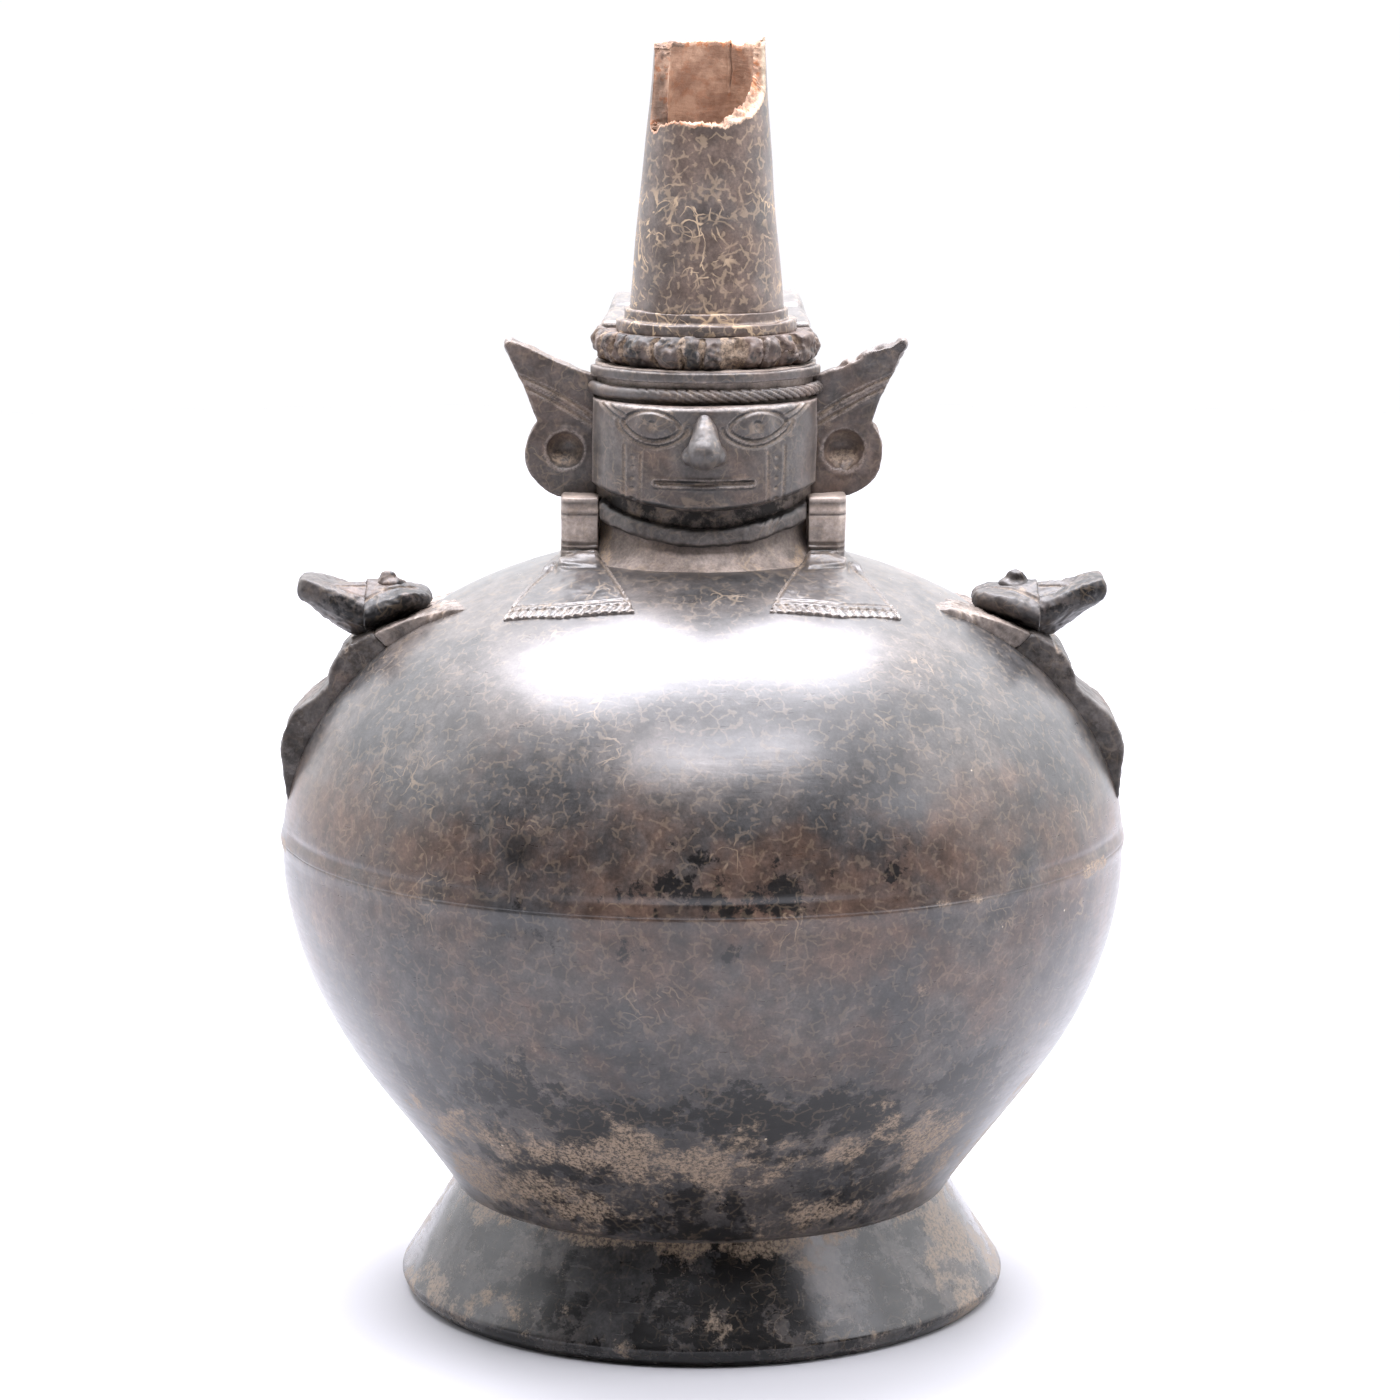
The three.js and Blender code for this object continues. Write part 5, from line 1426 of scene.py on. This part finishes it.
def work_hand(mesh, side, low, high):
    """The arm thins out to the finger tips, which are scored along the hand. The rear one lies low."""
    tip = ends(side, low, high)[0]
    points = points_of(mesh)
    height, away = above_dome(points)
    share = smoothstep((points[:, 0] - tip) * side, -1, 16)
    kept = (0.12 + 0.88 * share) * (0.5 if low[1] > 0 else 0.92)
    points -= away * (np.maximum(height, 0) * (1 - kept))[:, None]
    points[:, 0] += side * 1.2 * smoothstep((points[:, 0] - tip) * side, 13, 17)
    drawn = 1 - smoothstep((points[:, 0] - tip) * side, 0, 10)
    points[:, 0] -= side * 2.7 * drawn
    points[:, 2] += 1.1 * drawn
    move_points(mesh, points)
    step = (high[1] - low[1]) / 8
    fingers = [[(tip - side, low[1] + step * (index * 0.7 + 1.2)), (tip + side * 9, low[1] + step * index)]
               for index in range(1, 8)]
    incise(mesh, fingers, 0.5, 0.25, FROM_ABOVE)


def work_head(mesh, side, low, high):
    chin, waist, middle, _ = ends(side, low, high)
    edges = [[(chin + side * 2.2, middle + face * 1.4), (chin + side * 5, middle + face * 3.4),
              (waist, middle + face * 7.4)] for face in (-1, 1)]
    incise(mesh, edges, 0.8, 0.4, FROM_ABOVE)
    press(mesh, [(waist - side * 3.4, middle + face * 4.4) for face in (-1, 1)], 0.8, 0.3, FROM_ABOVE)


def work_hat(mesh, side, low, high):
    """A raised rim round the lobe, with a hollow between it and a line scored along the middle."""
    start, tip, middle, half = ends(side, low, high)
    points = points_of(mesh)
    across = np.abs(points[:, 1] - middle) / half
    share = np.clip((points[:, 0] - start) / (tip - start), 0, 1)
    inside = 1 - smoothstep(across ** 2 + share ** 2, 0.25, 0.7)
    points[:, 2] -= inside * smoothstep(normals_of(mesh)[:, 2], 0.4, 0.8) * 1.4
    move_points(mesh, points)
    incise(mesh, [[(start, middle - 1.6), (start + side * 7, middle - 2.4)]], 0.5, 0.3, FROM_ABOVE)


def work_nose(mesh, side, low, high):
    roughen(mesh, (1.6, 0.35, 35))


# Each piece of a figure: what shapes it, where that isn't its CAD solid, the hand work, and its dust, which on
# the arms is also painted light on the plates under the heads
FIGURE_PARTS = {
    "body": (None, work_body, 0.08),
    "arm_front": (None, work_hand, 0.32),
    "arm_rear": (None, work_hand, 0.3),
    "head": (figure_head, work_head, 0.0),
    "hat": (figure_hat, work_hat, 0.0),
    "nose": (figure_nose, work_nose, 0.0),
}


def make_attendants():
    """The two prone figures, each of six luted pieces."""
    for side, word in SIDES:
        for part, (shaped, work, dust) in FIGURE_PARTS.items():
            node = f"attendant_{word}_{part}"
            low, high = span(node)
            mesh = clay(shaped(side, low, high) if shaped else copy_of(node), node, 0.3, 7)
            work(mesh, side, low, high)
            if not shaped:
                lute(mesh, above_dome, 0.8, 1.3)
            roughen(mesh, (4, 0.3, 33), (1.1, 0.13, 34))
            everywhere = np.ones(len(mesh.vertices))
            write_marks(mesh, smoke=everywhere * 0.75, dust=everywhere * dust)
            finish(mesh, f"{word}_figure_{part}", [node], ware("figure"), 6, 0.24)


# The stage


def aimed(name, data, place, aim):
    """An object that looks from its place towards its aim."""
    made = bpy.data.objects.new(name, data)
    made.location = place
    made.rotation_euler = (Vector(aim) - Vector(place)).to_track_quat("-Z", "Y").to_euler()
    bpy.context.scene.collection.objects.link(made)
    return made


def make_camera(settings):
    data = bpy.data.cameras.new("Camera")
    data.sensor_width = 36
    data.lens = settings.lens
    data.clip_end = 50
    x = -0.0004
    bpy.context.scene.camera = aimed(
        "Camera", data, (x, -settings.distance, settings.eye_height), (x, 0, settings.aim_height),
    )


def make_light(name, place, aim, size, power, colour):
    data = bpy.data.lights.new(name, "AREA")
    data.shape = "RECTANGLE"
    data.size, data.size_y = size
    data.energy = power
    data.color = srgb(colour)[:3]
    aimed(name, data, place, aim)


def make_surroundings(settings):
    """A tent of white cloth round the sides, the back and the top, open on the dark camera side."""
    world = bpy.data.worlds.new("Light tent")
    bpy.context.scene.world = world
    world.use_nodes = True
    tree = world.node_tree
    tree.nodes.clear()
    heading = add(tree, "TexCoord", out="Generated")
    right, back, up = add(tree, "SeparateXYZ", (heading,)).node.outputs
    rising = add(tree, "MapRange", (up, 0.2, 0.6, settings.side_glow, settings.top_glow), **SOFT)
    rising = add(tree, "MULTIPLY", (rising, add(tree, "MapRange", (right, 0.1, 0.8, 1.0, 1.25), **SOFT)))
    behind = add(tree, "MapRange", (back, -0.42, 0.12), **SOFT)
    glow = add(tree, "Mix", {0: behind, 2: settings.front_glow, 3: rising}, data_type="FLOAT")
    seen = add(tree, "LightPath", out="Is Camera Ray")
    strength = add(tree, "Mix", {0: seen, 2: glow, 3: 1.05}, data_type="FLOAT")
    backdrop = add(tree, "Background", {"Color": srgb("fbfbff"), "Strength": strength})
    add(tree, "OutputWorld", {"Surface": backdrop})


def make_floor(settings):
    shape = bmesh.new()
    bmesh.ops.create_circle(shape, cap_ends=True, radius=1.6, segments=96)
    mesh = as_mesh(shape, "floor")
    mesh.materials.append(floor_paint(settings.floor_colour))
    floor = bpy.data.objects.new("floor", mesh)
    bpy.context.scene.collection.objects.link(floor)


# Properties, operators and the panel


def colour_property(name, description, hex_colour):
    return bpy.props.FloatVectorProperty(
        name=name, description=description, subtype="COLOR", size=3, min=0, max=1,
        default=srgb(hex_colour)[:3],
    )


class ClayColours(bpy.types.PropertyGroup):
    slate: colour_property("Slate", "The darker of the two greys of the burnished clay", "333232")
    grey: colour_property("Grey", "The paler of the two greys", "46413e")
    black: colour_property("Smoke black", "Where the smoke of the firing blackened the clay", "0f0e0e")
    brown: colour_property("Brown", "Where air reached the clay in the firing", "4b3b32")
    soil: colour_property("Soil", "Tan soil in patches and hollows", "93806c")
    root: colour_property("Rootlet marks", "Pale lines that rootlets left in the ground", "b19a7e")
    rubbed: colour_property("Rubbed edge", "Edges that handling rubbed pale", "a3958b")
    chip: colour_property("Chip", "The pale body of the clay in a fresh chip", "c9b9a2")
    core: colour_property("Core", "The clay inside the wall of the spout", "94735e")
    core_pale: colour_property("Pale core", "Where the core is paler", "c3a188")
    fired: colour_property("Fired core", "Where the core is orange", "a8683f")
    smoke: colour_property("Smoke stain", "Stains inside the spout and in the break", "3c2f27")


class StudioSettings(bpy.types.PropertyGroup):
    distance: bpy.props.FloatProperty(
        name="Distance", description="From the bottle's axis to the camera", default=0.94, unit="LENGTH")
    eye_height: bpy.props.FloatProperty(
        name="Eye height", description="The camera's height over the floor", default=0.292, unit="LENGTH")
    aim_height: bpy.props.FloatProperty(
        name="Aim height", description="The height that the camera looks at", default=0.123, unit="LENGTH")
    lens: bpy.props.FloatProperty(
        name="Lens", description="Focal length on a sensor 36 mm wide", default=119.4, unit="CAMERA")
    side_glow: bpy.props.FloatProperty(
        name="Sides", description="Brightness of the tent at the sides and behind", default=1.8)
    top_glow: bpy.props.FloatProperty(
        name="Top", description="Brightness of the tent overhead", default=3.6)
    front_glow: bpy.props.FloatProperty(
        name="Front", description="Brightness of the room on the camera's side", default=0.06)
    overhead_power: bpy.props.FloatProperty(
        name="Overhead softbox", description="Power of the softbox over the bottle, in watts", default=50)
    front_power: bpy.props.FloatProperty(
        name="Front softbox", description="Power of the softbox high in front, in watts", default=11)
    side_power: bpy.props.FloatProperty(
        name="Side softbox", description="Power of the softbox low at the right, in watts", default=2.4)
    floor_colour: colour_property("Floor", "Matt paint of the floor", "b2b2b5")


class StepOperator:
    """What the bottle's operators share."""

    bl_options = {"REGISTER", "UNDO"}


class BOTTLE_OT_studio(StepOperator, bpy.types.Operator):
    """Set up the camera, the light tent, the softboxes and the floor"""

    bl_idname = "bottle.studio"
    bl_label = "Studio"

    def execute(self, context):
        settings = context.scene.bottle_studio
        context.scene.view_settings.view_transform = "Standard"
        make_camera(settings)
        make_surroundings(settings)
        make_floor(settings)
        middle, foot = (0, 0, 0.13), (0, 0, 0.05)
        make_light("Overhead softbox", (-0.04, 0.32, 1.2), middle, (1.15, 0.6), settings.overhead_power, "f8f6ff")
        make_light("Front softbox", (0.08, -0.4, 0.99), middle, (0.7, 0.26), settings.front_power, "f8f7ff")
        make_light("Side softbox", (0.9, -0.42, 0.72), foot, (0.45, 0.4), settings.side_power, "f8f7ff")
        return {"FINISHED"}


class BOTTLE_OT_vessel(StepOperator, bpy.types.Operator):
    """Make the foot, the bowl and the dome"""

    bl_idname = "bottle.vessel"
    bl_label = "Vessel"

    def execute(self, context):
        make_foot()
        make_bowl()
        make_dome()
        return {"FINISHED"}


class BOTTLE_OT_column(StepOperator, bpy.types.Operator):
    """Make the neck, the crown and the collar"""

    bl_idname = "bottle.column"
    bl_label = "Neck, crown and collar"

    def execute(self, context):
        make_neck()
        make_crown()
        make_collar()
        return {"FINISHED"}


class BOTTLE_OT_spout(StepOperator, bpy.types.Operator):
    """Make the broken spout"""

    bl_idname = "bottle.spout"
    bl_label = "Spout"

    def execute(self, context):
        make_spout()
        return {"FINISHED"}


class BOTTLE_OT_face(StepOperator, bpy.types.Operator):
    """Make the mask, the nose and the bands across the forehead"""

    bl_idname = "bottle.face"
    bl_label = "Face and bands"

    def execute(self, context):
        make_mask()
        make_nose()
        make_bands()
        return {"FINISHED"}


class BOTTLE_OT_ears(StepOperator, bpy.types.Operator):
    """Make the winged ears"""

    bl_idname = "bottle.ears"
    bl_label = "Ears"

    def execute(self, context):
        make_ears()
        return {"FINISHED"}


class BOTTLE_OT_dress(StepOperator, bpy.types.Operator):
    """Make the crescent and the hanging bands"""

    bl_idname = "bottle.dress"
    bl_label = "Dress"

    def execute(self, context):
        make_crescent()
        make_hanging_bands()
        return {"FINISHED"}


class BOTTLE_OT_handle(StepOperator, bpy.types.Operator):
    """Make the strap handle"""

    bl_idname = "bottle.handle"
    bl_label = "Handle"

    def execute(self, context):
        make_handle()
        return {"FINISHED"}


class BOTTLE_OT_attendants(StepOperator, bpy.types.Operator):
    """Make the two figures on the shoulders"""

    bl_idname = "bottle.attendants"
    bl_label = "Attendants"

    def execute(self, context):
        make_attendants()
        return {"FINISHED"}


STEPS = (
    BOTTLE_OT_studio,
    BOTTLE_OT_vessel,
    BOTTLE_OT_column,
    BOTTLE_OT_spout,
    BOTTLE_OT_face,
    BOTTLE_OT_ears,
    BOTTLE_OT_dress,
    BOTTLE_OT_handle,
    BOTTLE_OT_attendants,
)


class BOTTLE_PT_panel(bpy.types.Panel):
    """The bottle's settings and steps"""

    bl_label = "Blackware Bottle"
    bl_space_type = "VIEW_3D"
    bl_region_type = "UI"
    bl_category = "Bottle"

    def draw(self, context):
        for group in (context.scene.bottle_clay, context.scene.bottle_studio):
            for name in settings_in(group):
                self.layout.prop(group, name)
        for step in STEPS:
            self.layout.operator(step.bl_idname)


CLASSES = (ClayColours, StudioSettings, *STEPS, BOTTLE_PT_panel)


def register():
    for entry in CLASSES:
        bpy.utils.register_class(entry)
    bpy.types.Scene.bottle_clay = bpy.props.PointerProperty(type=ClayColours)
    bpy.types.Scene.bottle_studio = bpy.props.PointerProperty(type=StudioSettings)


def unregister():
    del bpy.types.Scene.bottle_studio
    del bpy.types.Scene.bottle_clay
    for entry in reversed(CLASSES):
        bpy.utils.unregister_class(entry)


def main():
    register()
    for step in STEPS:
        group, name = step.bl_idname.split(".")
        getattr(getattr(bpy.ops, group), name)()


if __name__ == "__main__":
    main()
